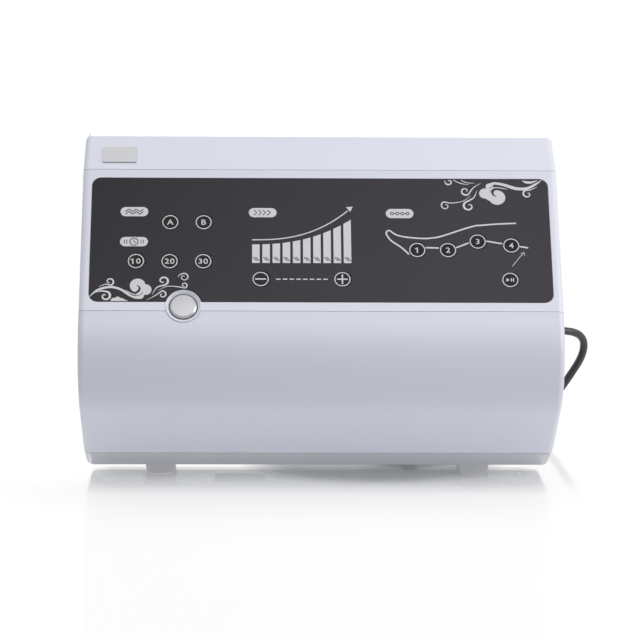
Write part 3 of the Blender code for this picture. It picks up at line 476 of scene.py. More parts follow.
def combine(target, tool, operation):
    modifier = target.modifiers.new("combine", "BOOLEAN")
    modifier.operation = operation
    modifier.object = tool
    bpy.context.view_layer.update()
    depsgraph = bpy.context.evaluated_depsgraph_get()
    mesh = bpy.data.meshes.new_from_object(target.evaluated_get(depsgraph))
    target.modifiers.clear()
    target.data = mesh
    bpy.data.objects.remove(tool)
    return target


def cut(target, *tools):
    for tool in tools:
        combine(target, tool, "DIFFERENCE")
    return target


def add(target, *tools):
    for tool in tools:
        combine(target, tool, "UNION")
    return target


def common(target, tool):
    return combine(target, tool, "INTERSECT")


def piece(name, finish, solid, *stands_for, body="case", slot=None, edge=0.0):
    """Name a solid, finish it, soften its edges, and let it ride on its body."""
    solid.name = name
    solid.data.name = name
    if len(solid.data.materials):
        solid.data.materials.clear()
    solid.data.materials.append(finish)
    if solid.type == "MESH":
        solid.data.shade_smooth()
        solid.data.set_sharp_from_angle(angle=smooth_limit)
    if edge:
        bevel = solid.modifiers.new("edge_round", "BEVEL")
        bevel.width = edge
        bevel.segments = 2
        bevel.angle_limit = smooth_limit
        bevel.harden_normals = True
    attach(solid, body)
    if stands_for:
        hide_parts(*stands_for)
    return solid


# Finishes

def give(tree, socket, value):
    """Link another node's output to an input, or set the input's own value."""
    if isinstance(value, bpy.types.NodeSocket):
        tree.links.new(value, socket)
    else:
        socket.default_value = value


def node(tree, kind, *inputs, **values):
    """A new shader node's outputs. Inputs go in order, values to a property or input by name."""
    made = tree.nodes.new("ShaderNode" + kind)
    for name in [name for name in values if hasattr(made, name)]:
        setattr(made, name, values.pop(name))
    sockets = made.inputs[:len(inputs)] + [made.inputs[name.replace("_", " ")] for name in values]
    for socket, value in zip(sockets, [*inputs, *values.values()]):
        give(tree, socket, value)
    return made.outputs


def product(tree, first, second):
    return node(tree, "Math", first, second, operation="MULTIPLY")[0]


def ramp(tree, value, start, end, low=0.0, high=1.0):
    """A smooth step from low, where the value is at the start, to high at the end."""
    return node(tree, "MapRange", value, start, end, low, high, interpolation_type="SMOOTHSTEP")[0]


def mixed_colour(tree, share, first, second):
    mix = tree.nodes.new("ShaderNodeMix")
    mix.data_type = "RGBA"
    for place, value in ((0, share), (6, first), (7, second)):
        give(tree, mix.inputs[place], value)
    return mix.outputs[2]


def new_group(name, given, results):
    """A node group, the sockets that bring in what it is given, and those that take its results."""
    group = bpy.data.node_groups.new(name, "ShaderNodeTree")
    for label, value in given.items():
        kind = {3: "Vector", 4: "Color"}[len(value)] if isinstance(value, tuple) else "Float"
        socket = group.interface.new_socket(name=label, in_out="INPUT",
                                            socket_type="NodeSocket" + kind)
        socket.default_value = value
    for label, kind in results.items():
        group.interface.new_socket(name=label, in_out="OUTPUT", socket_type="NodeSocket" + kind)
    source, target = group.nodes.new("NodeGroupInput"), group.nodes.new("NodeGroupOutput")
    return group, source.outputs, target.inputs


def moulded_surface_group():
    """Faint patches of tone and gloss, and a fine moulded grain."""
    group, given, out = new_group(
        "moulded_surface",
        {"Colour": mid_grey, "Patch Colour": mid_grey, "Patches per Metre": 14.0,
         "Grain per Metre": 1800.0, "Grain Depth": 0.1,
         "Roughness Low": 0.3, "Roughness High": 0.4},
        {"Colour": "Color", "Roughness": "Float", "Normal": "Vector"})
    place = node(group, "TexCoord")["Object"]
    patches = node(group, "TexNoise", Vector=place, Scale=given["Patches per Metre"],
                   Detail=2.0)["Fac"]
    grain = node(group, "TexNoise", Vector=place, Scale=given["Grain per Metre"], Detail=3.0,
                 Roughness=0.6)["Fac"]
    gloss = node(group, "MapRange", patches, To_Min=given["Roughness Low"],
                 To_Max=given["Roughness High"])
    bump = node(group, "Bump", Height=grain, Strength=given["Grain Depth"], Distance=grain_height)
    give(group, out["Colour"], mixed_colour(group, patches, given["Colour"], given["Patch Colour"]))
    give(group, out["Roughness"], gloss["Result"])
    give(group, out["Normal"], bump["Normal"])
    return group


def band_pattern_group():
    """Thin parallel bands, for wound wire and stacked sheets."""
    group, given, out = new_group(
        "fine_bands",
        {"Dark Colour": mid_grey, "Light Colour": mid_grey, "Bands per Metre": 900.0,
         "Direction": (0, 0, 1)},
        {"Colour": "Color", "Normal": "Vector"})
    place = node(group, "TexCoord")["Object"]
    along = node(group, "VectorMath", place, given["Direction"], operation="DOT_PRODUCT")["Value"]
    wave = node(group, "Math", product(group, along, given["Bands per Metre"]), operation="SINE")[0]
    share = node(group, "MapRange", wave, From_Min=-1)["Result"]
    bump = node(group, "Bump", Height=share, Distance=band_height, Strength=0.6)
    colour = mixed_colour(group, share, given["Dark Colour"], given["Light Colour"])
    give(group, out["Colour"], colour)
    give(group, out["Normal"], bump["Normal"])
    return group


moulded_surface = moulded_surface_group()
fine_bands = band_pattern_group()


def new_finish(name, **shader_values):
    material = bpy.data.materials.new(name)
    material.use_nodes = True
    shader = material.node_tree.nodes["Principled BSDF"].inputs
    for socket, value in shader_values.items():
        shader[socket.replace("_", " ")].default_value = value
    return material, material.node_tree, shader


def add_surface(tree, shader, group, **values):
    """Feed a shader from a node group, result by result."""
    surface = tree.nodes.new("ShaderNodeGroup")
    surface.node_tree = group
    for name, value in values.items():
        give(tree, surface.inputs[name.replace("_", " ")], value)
    for result in surface.outputs:
        tree.links.new(result, shader["Base Color" if result.name == "Colour" else result.name])


def rgba(colour, share=1.0):
    return (*(c * share for c in colour), 1)


def moulded_finish(name, colour, roughness, patch_share=0.97, patches=14.0, grain=1800.0,
                   depth=0.1, spread=0.05, painted_light_end=None, **shader_values):
    """A moulded or metal surface; with a painted light end, its colour grows paler along the panel
    towards its right, as painted light from the brighter right side.
    """
    material, tree, shader = new_finish(name, **shader_values)
    tone, patch_tone = rgba(colour), rgba(colour, patch_share)
    if painted_light_end:
        # Painted light: the colour is mixed paler towards the right along the panel
        x = node(tree, "SeparateXYZ", node(tree, "TexCoord")["Object"])["X"]
        along = node(tree, "MapRange", x, -overlay_width / 2, film_painted_light_x)["Result"]
        tone = patch_tone = mixed_colour(tree, along, tone, rgba(painted_light_end))
    add_surface(tree, shader, moulded_surface, Colour=tone, Patch_Colour=patch_tone,
                Patches_per_Metre=patches, Grain_per_Metre=grain, Grain_Depth=depth,
                Roughness_Low=roughness - spread, Roughness_High=roughness + spread)
    return material


def banded_finish(name, dark, light, bands, direction, roughness, metallic):
    material, tree, shader = new_finish(name, Roughness=roughness, Metallic=metallic)
    add_surface(tree, shader, fine_bands, Dark_Colour=rgba(dark), Light_Colour=rgba(light),
                Bands_per_Metre=bands, Direction=direction)
    return material


def circuit_board_finish():
    """Solder mask with copper tracks showing through as lighter lines."""
    material, tree, shader = new_finish("circuit_board", Roughness=0.35)
    tracks = node(tree, "TexBrick", node(tree, "TexCoord")["Object"], (0.02, 0.13, 0.05, 1),
                  (0.02, 0.15, 0.06, 1), (0.05, 0.26, 0.11, 1), Scale=160.0, Mortar_Size=0.035)
    bump = node(tree, "Bump", Height=tracks["Fac"], Distance=track_height, Strength=0.5)
    give(tree, shader["Base Color"], tracks["Color"])
    give(tree, shader["Normal"], bump["Normal"])
    return material


pearl_white = moulded_finish("pearl_white", (0.68, 0.70, 0.79), 0.34, patch_share=0.985, depth=0.12)
# The bezel is the same pearl white plastic painted a little lighter: painted light on the more
# upright bezel, which gets less light from above
bezel_white_painted_light = moulded_finish("bezel_white_painted_light", (0.725, 0.745, 0.84), 0.34, patch_share=0.985,
                             depth=0.12)
# The base tray is the same pearl white plastic painted darker: painted shade on the tray low under
# the case; it is also a little less blue
tray_white_painted_shade = moulded_finish("tray_white_painted_shade", (0.52, 0.54, 0.575), 0.45, patch_share=0.98, depth=0.25,
                            Specular_IOR_Level=0.3)
# The film is painted paler towards its right end: painted light from the brighter right side
panel_film = moulded_finish("panel_film", (0.0066, 0.0040, 0.0105), 0.30, depth=0.12,
                            painted_light_end=(0.0290, 0.0250, 0.0360), Specular_IOR_Level=0.29)
key_window = moulded_finish("key_window", (0.0040, 0.0040, 0.0050), 0.28, patch_share=0.9,
                            Specular_IOR_Level=0.22)
panel_print = moulded_finish("panel_print", (0.645, 0.645, 0.675), 0.42, depth=0.1)
dark_print = moulded_finish("dark_print", (0.03, 0.03, 0.034), 0.42, depth=0.1)
satin_silver = moulded_finish("satin_silver", (0.45, 0.45, 0.47), 0.30, patches=40.0, depth=0.15,
                              Metallic=0.6)
badge_silver = moulded_finish("badge_silver", (0.60, 0.60, 0.62), 0.36, patches=30.0, depth=0.02,
                              spread=0.02, Metallic=0.6)
foot_rubber = moulded_finish("foot_rubber", (0.71, 0.715, 0.73), 0.70, grain=900.0, depth=0.5)
lead_jacket = moulded_finish("lead_jacket", (0.020, 0.020, 0.022), 0.33, patches=30.0, grain=700.0,
                             depth=0.2)
black_plastic = moulded_finish("black_plastic", (0.045, 0.045, 0.047), 0.48, depth=0.3)
grey_plastic = moulded_finish("grey_plastic", (0.45, 0.46, 0.49), 0.48, depth=0.3)
cast_metal = moulded_finish("cast_metal", (0.55, 0.56, 0.58), 0.42, grain=600.0, depth=0.8,
                            patch_share=0.85, Metallic=0.9)
plated_steel = moulded_finish("plated_steel", (0.60, 0.60, 0.62), 0.30, grain=2600.0,
                              patch_share=0.9, Metallic=1.0)
pin_nickel = moulded_finish("pin_nickel", (0.75, 0.73, 0.70), 0.20, patches=80.0, patch_share=0.93,
                            Metallic=1.0)
air_tube = moulded_finish("air_tube", (0.70, 0.73, 0.75), 0.30, patches=50.0)
wound_copper = banded_finish("wound_copper", (0.34, 0.13, 0.06), (0.80, 0.40, 0.22), 9000.0,
                             (0, 0, 1), 0.35, 0.9)
laminated_steel = banded_finish("laminated_steel", (0.22, 0.22, 0.24), (0.55, 0.55, 0.57), 9000.0,
                                (0, 1, 0), 0.40, 1.0)
flat_cable = banded_finish("flat_cable", (0.34, 0.35, 0.38), (0.50, 0.51, 0.54), 5000.0,
                           (1, 0, 0), 0.45, 0.0)
circuit_board = circuit_board_finish()


# Mains lead

def smooth_points(route, step):
    """Points about a step apart on one smooth curve through a route."""
    line = []
    ends = [route[0] * 2 - route[1], *route, route[-1] * 2 - route[-2]]
    for a, b, c, d in zip(ends, ends[1:], ends[2:], ends[3:]):
        for i in range(curve_steps):
            t = i / curve_steps
            line.append((b * 2 + (c - a) * t + (a * 2 - b * 5 + c * 4 - d) * t ** 2
                         + (b * 3 - a - c * 3 + d) * t ** 3) / 2)
    line.append(route[-1])
    lengths = [0.0]
    for p, q in zip(line, line[1:]):
        lengths.append(lengths[-1] + (q - p).length)
    count = max(2, round(lengths[-1] / step))
    points, k = [], 0
    for i in range(count + 1):
        target = lengths[-1] * i / count
        while k < len(lengths) - 2 and lengths[k + 1] < target:
            k += 1
        span = lengths[k + 1] - lengths[k]
        points.append(line[k].lerp(line[k + 1], (target - lengths[k]) / span if span else 0))
    return points


coil_floor = tie_thickness + gap + cord_radius
coil_outer = coil_turn_radius + coil_wire_pitch * coil_turns_per_layer / 2
coil_back = coil_y + coil_outer
coil_top = coil_floor + coil_layer_rise
gland_end = case_depth + gap + gland_length
cord_diameter = 2 * cord_radius
plug_rest = plug_thickness / 2 + floor_clearance
sleeve_x = coil_x - coil_outer - cord_diameter

# Out of the gland, a drooping bend beside the case, then along the floor to the coil
lead_route = (
    (0.1320, 0.2230, 0.0960), (0.1325, 0.2310, 0.0960), (0.1352, 0.2400, 0.0958),
    (0.1410, 0.2480, 0.0954), (0.1500, 0.2545, 0.0947), (0.1620, 0.2592, 0.0937),
    (0.1760, 0.2625, 0.0925), (0.1900, 0.2652, 0.0912), (0.2020, 0.2680, 0.0901),
    (0.2120, 0.2716, 0.0888), (0.2203, 0.2768, 0.0867), (0.2268, 0.2830, 0.0826),
    (0.2305, 0.2885, 0.0760), (0.2306, 0.2925, 0.0675), (0.2277, 0.2945, 0.0588),
    (0.2226, 0.2956, 0.0498), (0.2165, 0.2962, 0.0402), (0.2094, 0.2966, 0.0302),
    (0.2008, 0.2969, 0.0205), (0.1900, 0.2971, 0.0124), (0.1765, 0.2972, 0.0072),
    (0.1610, 0.2973, 0.0050), (0.1450, 0.2974, 0.0046), (0.1250, 0.2974, 0.0046),
    (0.1050, 0.2974, 0.0046),
)


def coil_points():
    """Two layers: in along the lower one, a climb where the spiral turns, out on the upper one."""
    total = 2 * coil_turns_per_layer
    points = []
    for i in range(total * coil_loop_points + 1):
        turn = i / coil_loop_points
        along = turn if turn <= coil_turns_per_layer else total - turn
        radius = coil_outer - coil_wire_pitch * along
        climb = min(max(2 * (turn - coil_turns_per_layer) + 0.5, 0), 1)
        height = coil_floor + coil_layer_rise * (1 - math.cos(math.pi * climb)) / 2
        angle = quarter_turn + full_turn * turn
        points.append(Vector((coil_x + radius * math.cos(angle),
                              coil_y + radius * math.sin(angle), height)))
    return points


def make_lead():
    """The lead from the gland's tip to the plug's sleeve, and where it leaves the gland."""
    start = Vector((gland_x, gland_end + gap, inlet_z))
    entry = Vector((coil_x + cord_diameter, coil_back, coil_floor))
    top = Vector((coil_x - cord_diameter, coil_back, coil_top))
    run = top.x - sleeve_x - cord_diameter
    drop = coil_top - plug_rest
    tail = [top - Vector((share * run, 0, fall * drop)) for share, fall in plug_fall]
    tail.append(Vector((sleeve_x + gap, coil_back, plug_rest)))
    route = [start, *(Vector(point) for point in lead_route), entry]
    line = smooth_points(route, cord_radius) + coil_points() + smooth_points(tail, cord_radius)
    curve = bpy.data.curves.new("mains_lead", "CURVE")
    curve.dimensions = "3D"
    curve.bevel_depth = cord_radius
    curve.bevel_resolution = 5
    curve.use_fill_caps = True
    spline = curve.splines.new("POLY")
    spline.points.add(len(line) - 1)
    for item, point in zip(spline.points, line):
        item.co = (*(upright @ point), 1.0)
    lead = bpy.data.objects.new("mains_lead", curve)
    bpy.context.scene.collection.objects.link(lead)
    piece("mains_lead", lead_jacket, lead, "power_cord", "power_cord_coil", slot="cord_black")
    return lead, upright @ start


def make_cord_tie():
    width = 2 * coil_wire_pitch + cord_diameter + 2 * tie_slack
    height = coil_layer_rise + cord_diameter + 2 * gap
    middle = (coil_y - coil_turn_radius, coil_floor + coil_layer_rise / 2)
    grow = 2 * tie_thickness
    half = tie_width / 2
    outer = rounded_rectangle(width + grow, height + grow, cord_radius, middle)
    inner = rounded_rectangle(width, height, cord_radius - tie_thickness, middle)
    strap = extrude(outer, coil_x - half, coil_x + half, across_case)
    cut(strap, extrude(inner, coil_x - half - overrun, coil_x + half + overrun, across_case))
    return piece("lead_tie", black_plastic, strap, "cord_tie", slot="part_black",
                 edge=edge_round / 2)


def rib_steps(count, crest):
    """Shares along a ribbed sleeve, each with 1 in a groove and 0 on a rib."""
    return [((i + share) / count, sunk) for i in range(count)
            for share, sunk in ((0, 0), (crest, 0), (crest + 0.1, 1), (0.9, 1))]


def make_plug():
    place = axes_frame((0, -1, 0), (0, 0, 1), (-1, 0, 0), (sleeve_x, coil_back, plug_rest))
    rings = []

    def ring(height, wide, tall):
        rings.append([place @ Vector((x, y, height))
                      for x, y in rounded_rectangle(wide, tall, tall * plug_roundness)])

    for along, sunk in rib_steps(plug_ribs, 0.5):
        size = 2 * plug_sleeve_radius + gland_rib_depth * (along * 2 - 1 - 2 * sunk)
        ring(along * plug_sleeve_length, size, size)
    for along, wide, tall in plug_sections:
        ring(plug_sleeve_length + plug_length * along, plug_width * wide, plug_thickness * tall)
    body = loft(rings)
    face = plug_sleeve_length + plug_length
    pocket = rounded_rectangle(plug_insert[0] + 2 * gap, plug_insert[1] + 2 * gap, pin_radius)
    cut(body, extrude(pocket, face - pin_root - gap, face + overrun, place))
    plug = piece("mains_plug", lead_jacket, body, "plug_body", slot="cord_black")
    pins = extrude(rounded_rectangle(*plug_insert, pin_radius), face - pin_root, face, place)
    tip = face + pin_length
    pin = [(pin_radius, face - pin_root / 2), (pin_radius, tip - pin_radius),
           (pin_radius * 0.87, tip - pin_radius / 2), (pin_radius / 2, tip)]
    for side in (-1, 1):
        add(pins, turned(pin, place @ Matrix.Translation((side * pin_pitch / 2, 0, 0)), 24))
    return plug, piece("mains_plug_pins", pin_nickel, pins, "plug_pins", slot="nickel")


def make_gland():
    foot = gap + gland_flange_thickness
    outline = [(gland_radius, -wall - gland_inner_length), (gland_radius, gap),
               (gland_flange_radius, gap), (gland_flange_radius, foot - 2 * gap),
               (gland_flange_radius - gap, foot)]
    for along, sunk in rib_steps(gland_ribs, 0.55):
        radius = gland_radius + (gland_tip_radius - gland_radius) * along
        outline.append((radius - sunk * gland_rib_depth,
                        foot + (gland_length - gland_flange_thickness) * along))
    outline.append((gland_tip_radius - gland_rib_depth, gap + gland_length))
    gland = turned(outline, rear_at(gland_x, inlet_z))
    return piece("lead_gland", lead_jacket, gland, "cord_gland", slot="cord_black")


# Case shells

def case_block(depth):
    """The whole case, or with a depth the space that far inside it."""
    fillet = max(side_fillet - depth, 0)
    half = case_width / 2 - depth
    rings = []
    for side in (-1, 1):
        for i in range(fillet_steps + 1)[::side]:
            angle = quarter_turn * i / fillet_steps
            x = side * (half - fillet + fillet * math.sin(angle))
            inside = inset(profile, depth + fillet * (1 - math.cos(angle)))
            rings.append([across_case @ Vector((*point, x)) for point in inside])
    return loft(rings)


def bezel_region(clearance):
    """The bezel's wedge between its two seams, down to the depth of its side returns."""
    inward = Vector((math.cos(seam_lean), -math.sin(seam_lean)))
    along = Vector((math.sin(panel_lean), math.cos(panel_lean)))
    square = Vector((math.cos(panel_lean), -math.sin(panel_lean)))
    reach = inward * ((bezel_depth + clearance) / inward.dot(square))
    low = lower_seam - along * clearance
    high = upper_seam + along * clearance
    proud = inward * bezel_depth
    half = case_width / 2 + overrun
    return extrude([low - proud, low + reach, high + reach, high - proud], -half, half, across_case)


def lobe_cutter(clearance, depth):
    return disc(lobe_radius + clearance, -depth, bezel_depth, panel_at(lobe_x, lobe_up),
                ring_segments)


def slab(y_low, y_high, z_low, z_high):
    """A block wider than the case."""
    return block((-case_width, y_low, z_low), (case_width, y_high, z_high))


def seam_ledge():
    """The lip behind the bezel's lower seam, which keeps the seam dark."""
    half = case_width / 2 - wall - gap - ledge_thickness
    top = -wall - gap
    return block((-half, -ledge_reach - wall, top - ledge_thickness), (half, ledge_reach, top),
                 panel)


def both_sides(x, rows):
    """Places left and right of the middle, in each of some rows."""
    return [(side * x, y) for side in (-1, 1) for y in rows]


rear_screw_places = both_sides(rear_screw_x, rear_screw_heights)
base_screw_places = both_sides(base_screw_x, [front_edge + y for y in base_screw_ends])
foot_places = both_sides(foot_x, [front_edge + y for y in foot_ends])
vent_places = both_sides(vent_x, [vent_foot + i * vent_pitch for i in range(vent_count)])
floor_vent_places = both_sides(floor_vent_x, [front_edge + floor_vent_front + i * vent_pitch
                                              for i in range(floor_vent_count)])


def make_front_case():
    shell = case_block(0)
    cut(shell, case_block(wall), bezel_region(half_gap))
    add(shell, seam_ledge())
    cut(shell, lobe_cutter(gap, collar_depth + overrun))
    common(shell, slab(-overrun, rear_part_line - half_gap, block_floor, case_top + overrun))
    piece("front_case_shell", pearl_white, shell, "front_case", slot="pearl_white", edge=edge_round)


def make_base_tray():
    shell = common(case_block(0), slab(-overrun, case_depth + overrun, 0, base_seam.y - half_gap))
    cut(shell, case_block(wall))
    openings = [rectangle(floor_vent_length, vent_height, place) for place in floor_vent_places]
    openings += [circle(screw_head_radius + gap, centre=place) for place in base_screw_places]
    cut(shell, prisms(openings, 0, floor_top + overrun))
    piece("base_tray_shell", tray_white_painted_shade, shell, "base_tray", slot="pearl_white", edge=edge_round)


def make_rear_cover():
    shell = common(case_block(0), slab(rear_part_line + half_gap, case_depth + overrun,
                                       block_floor, case_top + overrun))
    cut(shell, case_block(wall))
    openings = [rounded_rectangle(vent_length, vent_height, vent_height / 2 - half_gap, place)
                for place in vent_places]
    round_holes = [(port_shank_radius, (-x, port_z)) for x in port_places]
    round_holes += [(fuse_radius, (-fuse_x, inlet_z)), (gland_radius, (-gland_x, inlet_z))]
    round_holes += [(screw_head_radius, place) for place in rear_screw_places]
    openings += [circle(radius + gap, centre=place) for radius, place in round_holes]
    cut(shell, prisms(openings, -wall - overrun, overrun, rear))
    piece("rear_cover_shell", pearl_white, shell, "rear_cover", slot="pearl_white", edge=edge_round)


def rim_arc(centre, radius, start, end, steps=6):
    """Part of a circle, as radius and height pairs for a turned solid."""
    angles = [math.radians(start + (end - start) * i / steps) for i in range(steps + 1)]
    return [(centre[0] + radius * math.cos(a), centre[1] + radius * math.sin(a)) for a in angles]


def key_holes():
    return [circle(key_radius + gap, centre=place) for place in key_places.values()]


def make_bezel():
    shell = common(case_block(0), bezel_region(-half_gap))
    cut(shell, case_block(wall))
    recess = rounded_rectangle(overlay_width + 2 * gap, overlay_height + 2 * gap,
                               overlay_corner + gap, overlay_centre)
    cut(shell, extrude(recess, -overlay_thickness - gap, overrun, panel))
    lobe_place = panel_at(lobe_x, lobe_up)
    cut(shell, disc(lobe_radius - gap, -wall - overrun, overrun, lobe_place, ring_segments))
    cut(shell, prisms(key_holes(), -wall - overrun, overrun, panel))
    rim = lobe_rim_width / 2
    crest = (lobe_radius - rim, lobe_rim_rise - rim)
    bore = (bore_radius + rim / 2, -lobe_dish - rim / 2)
    collar = bore_radius + collar_wall
    lobe = rim_arc(bore, rim / 2, 180, 90) + rim_arc(crest, rim, 150, 0)
    lobe += [(lobe_radius, -wall), (collar, -wall - collar_wall), (collar, -collar_depth),
             (bore_radius, -collar_depth)]
    add(shell, turned(lobe, lobe_place, ring_segments, closed=True))
    piece("panel_bezel_shell", bezel_white_painted_light, shell, "panel_bezel", slot="pearl_white",
          edge=edge_round)


# Control panel

def make_overlay():
    outline = rounded_rectangle(overlay_width, overlay_height, overlay_corner, overlay_centre)
    sheet = extrude(outline, -overlay_thickness, 0, panel)
    cut(sheet, lobe_cutter(gap, collar_depth), prisms(key_holes(), -wall, overrun, panel))
    piece("panel_overlay", panel_film, sheet, "graphic_overlay", slot="panel_black",
          edge=key_edge / 2)


def make_keys():
    outline = rim_arc((key_radius - key_edge, -key_edge), key_edge, 90, 0, 3)
    outline += [(key_radius, -key_cap_thickness), (key_stem_radius, -key_cap_thickness),
                (key_stem_radius, -key_stem_end)]
    for name, place in key_places.items():
        piece(f"membrane_key_{name}", panel_film, turned(outline, panel_at(*place)), f"key_{name}",
              body=name, slot="panel_black")


def make_power_button():
    place = panel_at(lobe_x, lobe_up)
    seat = button_flange_top - gap
    crown = (button_radius - button_bevel, button_rise - button_lip)
    shoulder = (button_radius - button_lip, -button_rise / 3 - button_lip)
    outline = rim_arc(crown, button_lip, 90, 65, 3) + rim_arc(shoulder, button_lip, 60, 0, 4)
    outline += [(button_radius, -seat), (button_stem_radius, -seat)]
    piece("power_cap", satin_silver, turned(outline, place, ring_segments), "power_button",
          body="power", slot="soft_silver")
    # The flange under the cap is black so that the slot round the cap looks dark: painted shade in
    # the slot
    collar = [(bore_radius - gap, -button_flange_top), (bore_radius - gap, -button_flange_end),
              (button_stem_radius, -button_flange_end), (button_stem_radius, -button_stem_end)]
    piece("power_cap_collar_painted_shade", black_plastic, turned(collar, place, ring_segments), body="power",
          slot="part_black")


def make_badge():
    outline = rounded_rectangle(*badge_size, badge_corner, badge_place)
    plate = extrude(outline, gap, gap + badge_thickness, strip)
    piece("badge_plate", badge_silver, plate, "blank_badge", slot="soft_silver",
          edge=edge_round / 2)


# Printed graphics: thin raised ink, each stroke a hair higher than the one before

class Ink:
    """Strokes and patches of one printed piece, gathered into one mesh; sizes are in mm."""

    def __init__(self, place=panel, layer=1):
        self.shape = bmesh.new()
        self.place = place @ Matrix.Translation((-print_set_left, 0, 0))
        self.height = print_height * layer
        self.tone = 0

    def grow(self, rings, closed=False):
        first = len(self.shape.faces)
        add_loft(self.shape, rings, closed)
        self.shape.faces.ensure_lookup_table()
        for face in self.shape.faces[first:]:
            face.material_index = self.tone
        self.height += print_step

    def patch(self, outline):
        outline = [(x * mm, y * mm) for x, y in outline]
        self.grow(prism_rings(outline, -print_sink, self.height, self.place))

    def stroke(self, points, width=1.0, smooth=0.0):
        """A line with round ends; a third value at a point is its width there."""
        line = [Vector((*point, width) if len(point) < 3 else point) for point in points]
        if smooth:
            line = smooth_points(line, smooth)
        stations = []
        for i, point in enumerate(line):
            ahead = line[min(i + 1, len(line) - 1)] - line[max(i - 1, 0)]
            stations.append((point.xy, ahead.xy.normalized(), max(point.z, 0.1) / 2))
        caps = []
        for (point, ahead, half), side in ((stations[0], -1), (stations[-1], 1)):
            caps.append([(point + ahead * (side * half * math.sin(a)), ahead, half * math.cos(a))
                         for a in cap_angles])
        rings = []
        for point, ahead, half in caps[0][::-1] + stations + caps[1]:
            out = Vector((-ahead.y, ahead.x)) * half
            rings.append([self.place @ Vector((*(point + out * side) * mm, z)) for side, z in (
                (-1, -print_sink), (1, -print_sink), (1, self.height), (-1, self.height))])
        self.grow(rings)

    def ring(self, centre, diameter, width, segments=64):
        section = [((diameter + side * width) / 2, z) for side, z in (
            (-1, -print_sink), (1, -print_sink), (1, self.height), (-1, self.height))]
        self.grow([[self.place @ Vector(((centre[0] + x * r) * mm, (centre[1] + y * r) * mm, z))
                    for r, z in section] for x, y in circle(1, segments)], closed=True)

    def letters(self, text, centre, widen=1.0):
        """Plain figures or letters, centred."""
        data = bpy.data.curves.new("letters", "FONT")
        data.body = text
        data.extrude = 1.0
        data.offset = 0.012
        data.space_character = 1.15
        source = bpy.data.objects.new("letters", data)
        bpy.context.scene.collection.objects.link(source)
        bpy.context.view_layer.update()
        shaped = source.evaluated_get(bpy.context.evaluated_depsgraph_get())
        mesh = bpy.data.meshes.new_from_object(shaped)
        xs = [v.co.x for v in mesh.vertices]
        ys = [v.co.y for v in mesh.vertices]
        scale = letter_height / (max(ys) - min(ys)) * mm
        middle = ((max(xs) + min(xs)) / 2, (max(ys) + min(ys)) / 2)
        for vertex in mesh.vertices:
            vertex.co = self.place @ Vector((
                centre[0] * mm + (vertex.co.x - middle[0]) * scale * widen,
                centre[1] * mm + (vertex.co.y - middle[1]) * scale,
                self.height if vertex.co.z > 0 else -print_sink))
        self.shape.from_mesh(mesh)
        bpy.data.objects.remove(source)
        self.height += print_step

    def scroll(self, stem, eye, sweep, width):
        """A thin stem that thickens into a spiral; sweep is in degrees about the eye."""
        reach = Vector(stem[-1]) - Vector(eye)
        bearing = math.atan2(reach.y, reach.x)
        turns = []
        for i in range(1, scroll_steps + 1):
            share = i / scroll_steps
            angle = bearing + math.radians(sweep) * share
            away = reach.length * (1 - 0.78 * share ** 2)
            turns.append((eye[0] + away * math.cos(angle), eye[1] + away * math.sin(angle),
                          width * (1.0 - 0.55 * share)))
        grown = [(x, y, stem_start + (width - stem_start) * (i / len(stem)) ** 0.7)
                 for i, (x, y) in enumerate(stem)]
        self.stroke(grown + turns, smooth=0.3)

    def finish(self, name, finish=panel_print, second=None, body="case"):
        bmesh.ops.remove_doubles(self.shape, verts=self.shape.verts, dist=0.0)
        printed = piece(name, finish, solid_from(self.shape), body=body, slot="soft_silver")
        if second:
            printed.data.materials.append(second)


def print_keys():
    for name, (x, up_slope) in key_places.items():
        ink = Ink(panel_at(x, up_slope))
        ink.tone = 1
        ink.patch(circle(key_ring_diameter / 2, 64))
        ink.tone = 0
        ink.ring((0, 0), key_ring_diameter, key_ring_width)
        kind, _, caption = name.upper().partition("_")
        if caption[:1] == "1":
            foot = -2.6 if caption == "10" else -0.2
            ink.stroke([(foot - 1.1, 1.15), (foot + 0.25, 2.05), (foot + 0.25, -2.2)], 0.95)
            if caption == "10":
                ink.letters("0", (1.8, 0), 1.15)
        elif kind == "PRESSURE":
            ink.patch(rectangle(8.2, 1.1))
            if caption == "UP":
                ink.patch(rectangle(1.1, 8.6))
        elif caption:
            ink.letters(caption, (0, 0), 1.12)
        else:
            ink.patch([(-3.0, -1.5), (-0.4, 0.0), (-3.0, 1.5)])
            for x in (0.9, 2.4):
                ink.patch(rectangle(0.8, 2.8, (x, 0)))
        ink.finish(f"key_print_{name}", second=key_window, body=name)


def bar_top(x):
    """Height in mm of the rising pressure bars at an X in mm."""
    return 57.1 + 22.3 * ((x + 52) / 76.1) ** 2.4


def print_pressure_scale():
    first, pitch, width, foot, count = -51.8, 7.72, 5.7, 41.1, 10
    bars, ticks = Ink(), Ink(layer=3)
    for i in range(count):
        x = first + i * pitch
        top = [(x + width * share, bar_top(x + width * share)) for share in (1, 0.75, 0.5, 0.25, 0)]
        bars.patch([(x, foot), (x + width, foot), *top])
        for shift in (1.0, 2.7):
            ticks.stroke([(x + shift, 46.0), (x + shift + 2.3, 43.2)], 0.7)
    curve = [(-51.6 + 76.3 * i / 20, 61.1 + 29.0 * (i / 20) ** 2.6) for i in range(20)]
    bars.stroke(curve, 0.9, smooth=2.0)
    bars.patch([(25.1, 90.4), (19.9, 89.8), (23.1, 85.7)])
    for i in range(8):
        bars.patch(rectangle(3.4, 0.95, (-32.05 + 5.1 * i, 27.2)))
    bars.finish("pressure_scale")
    ticks.finish("pressure_scale_ticks", dark_print)


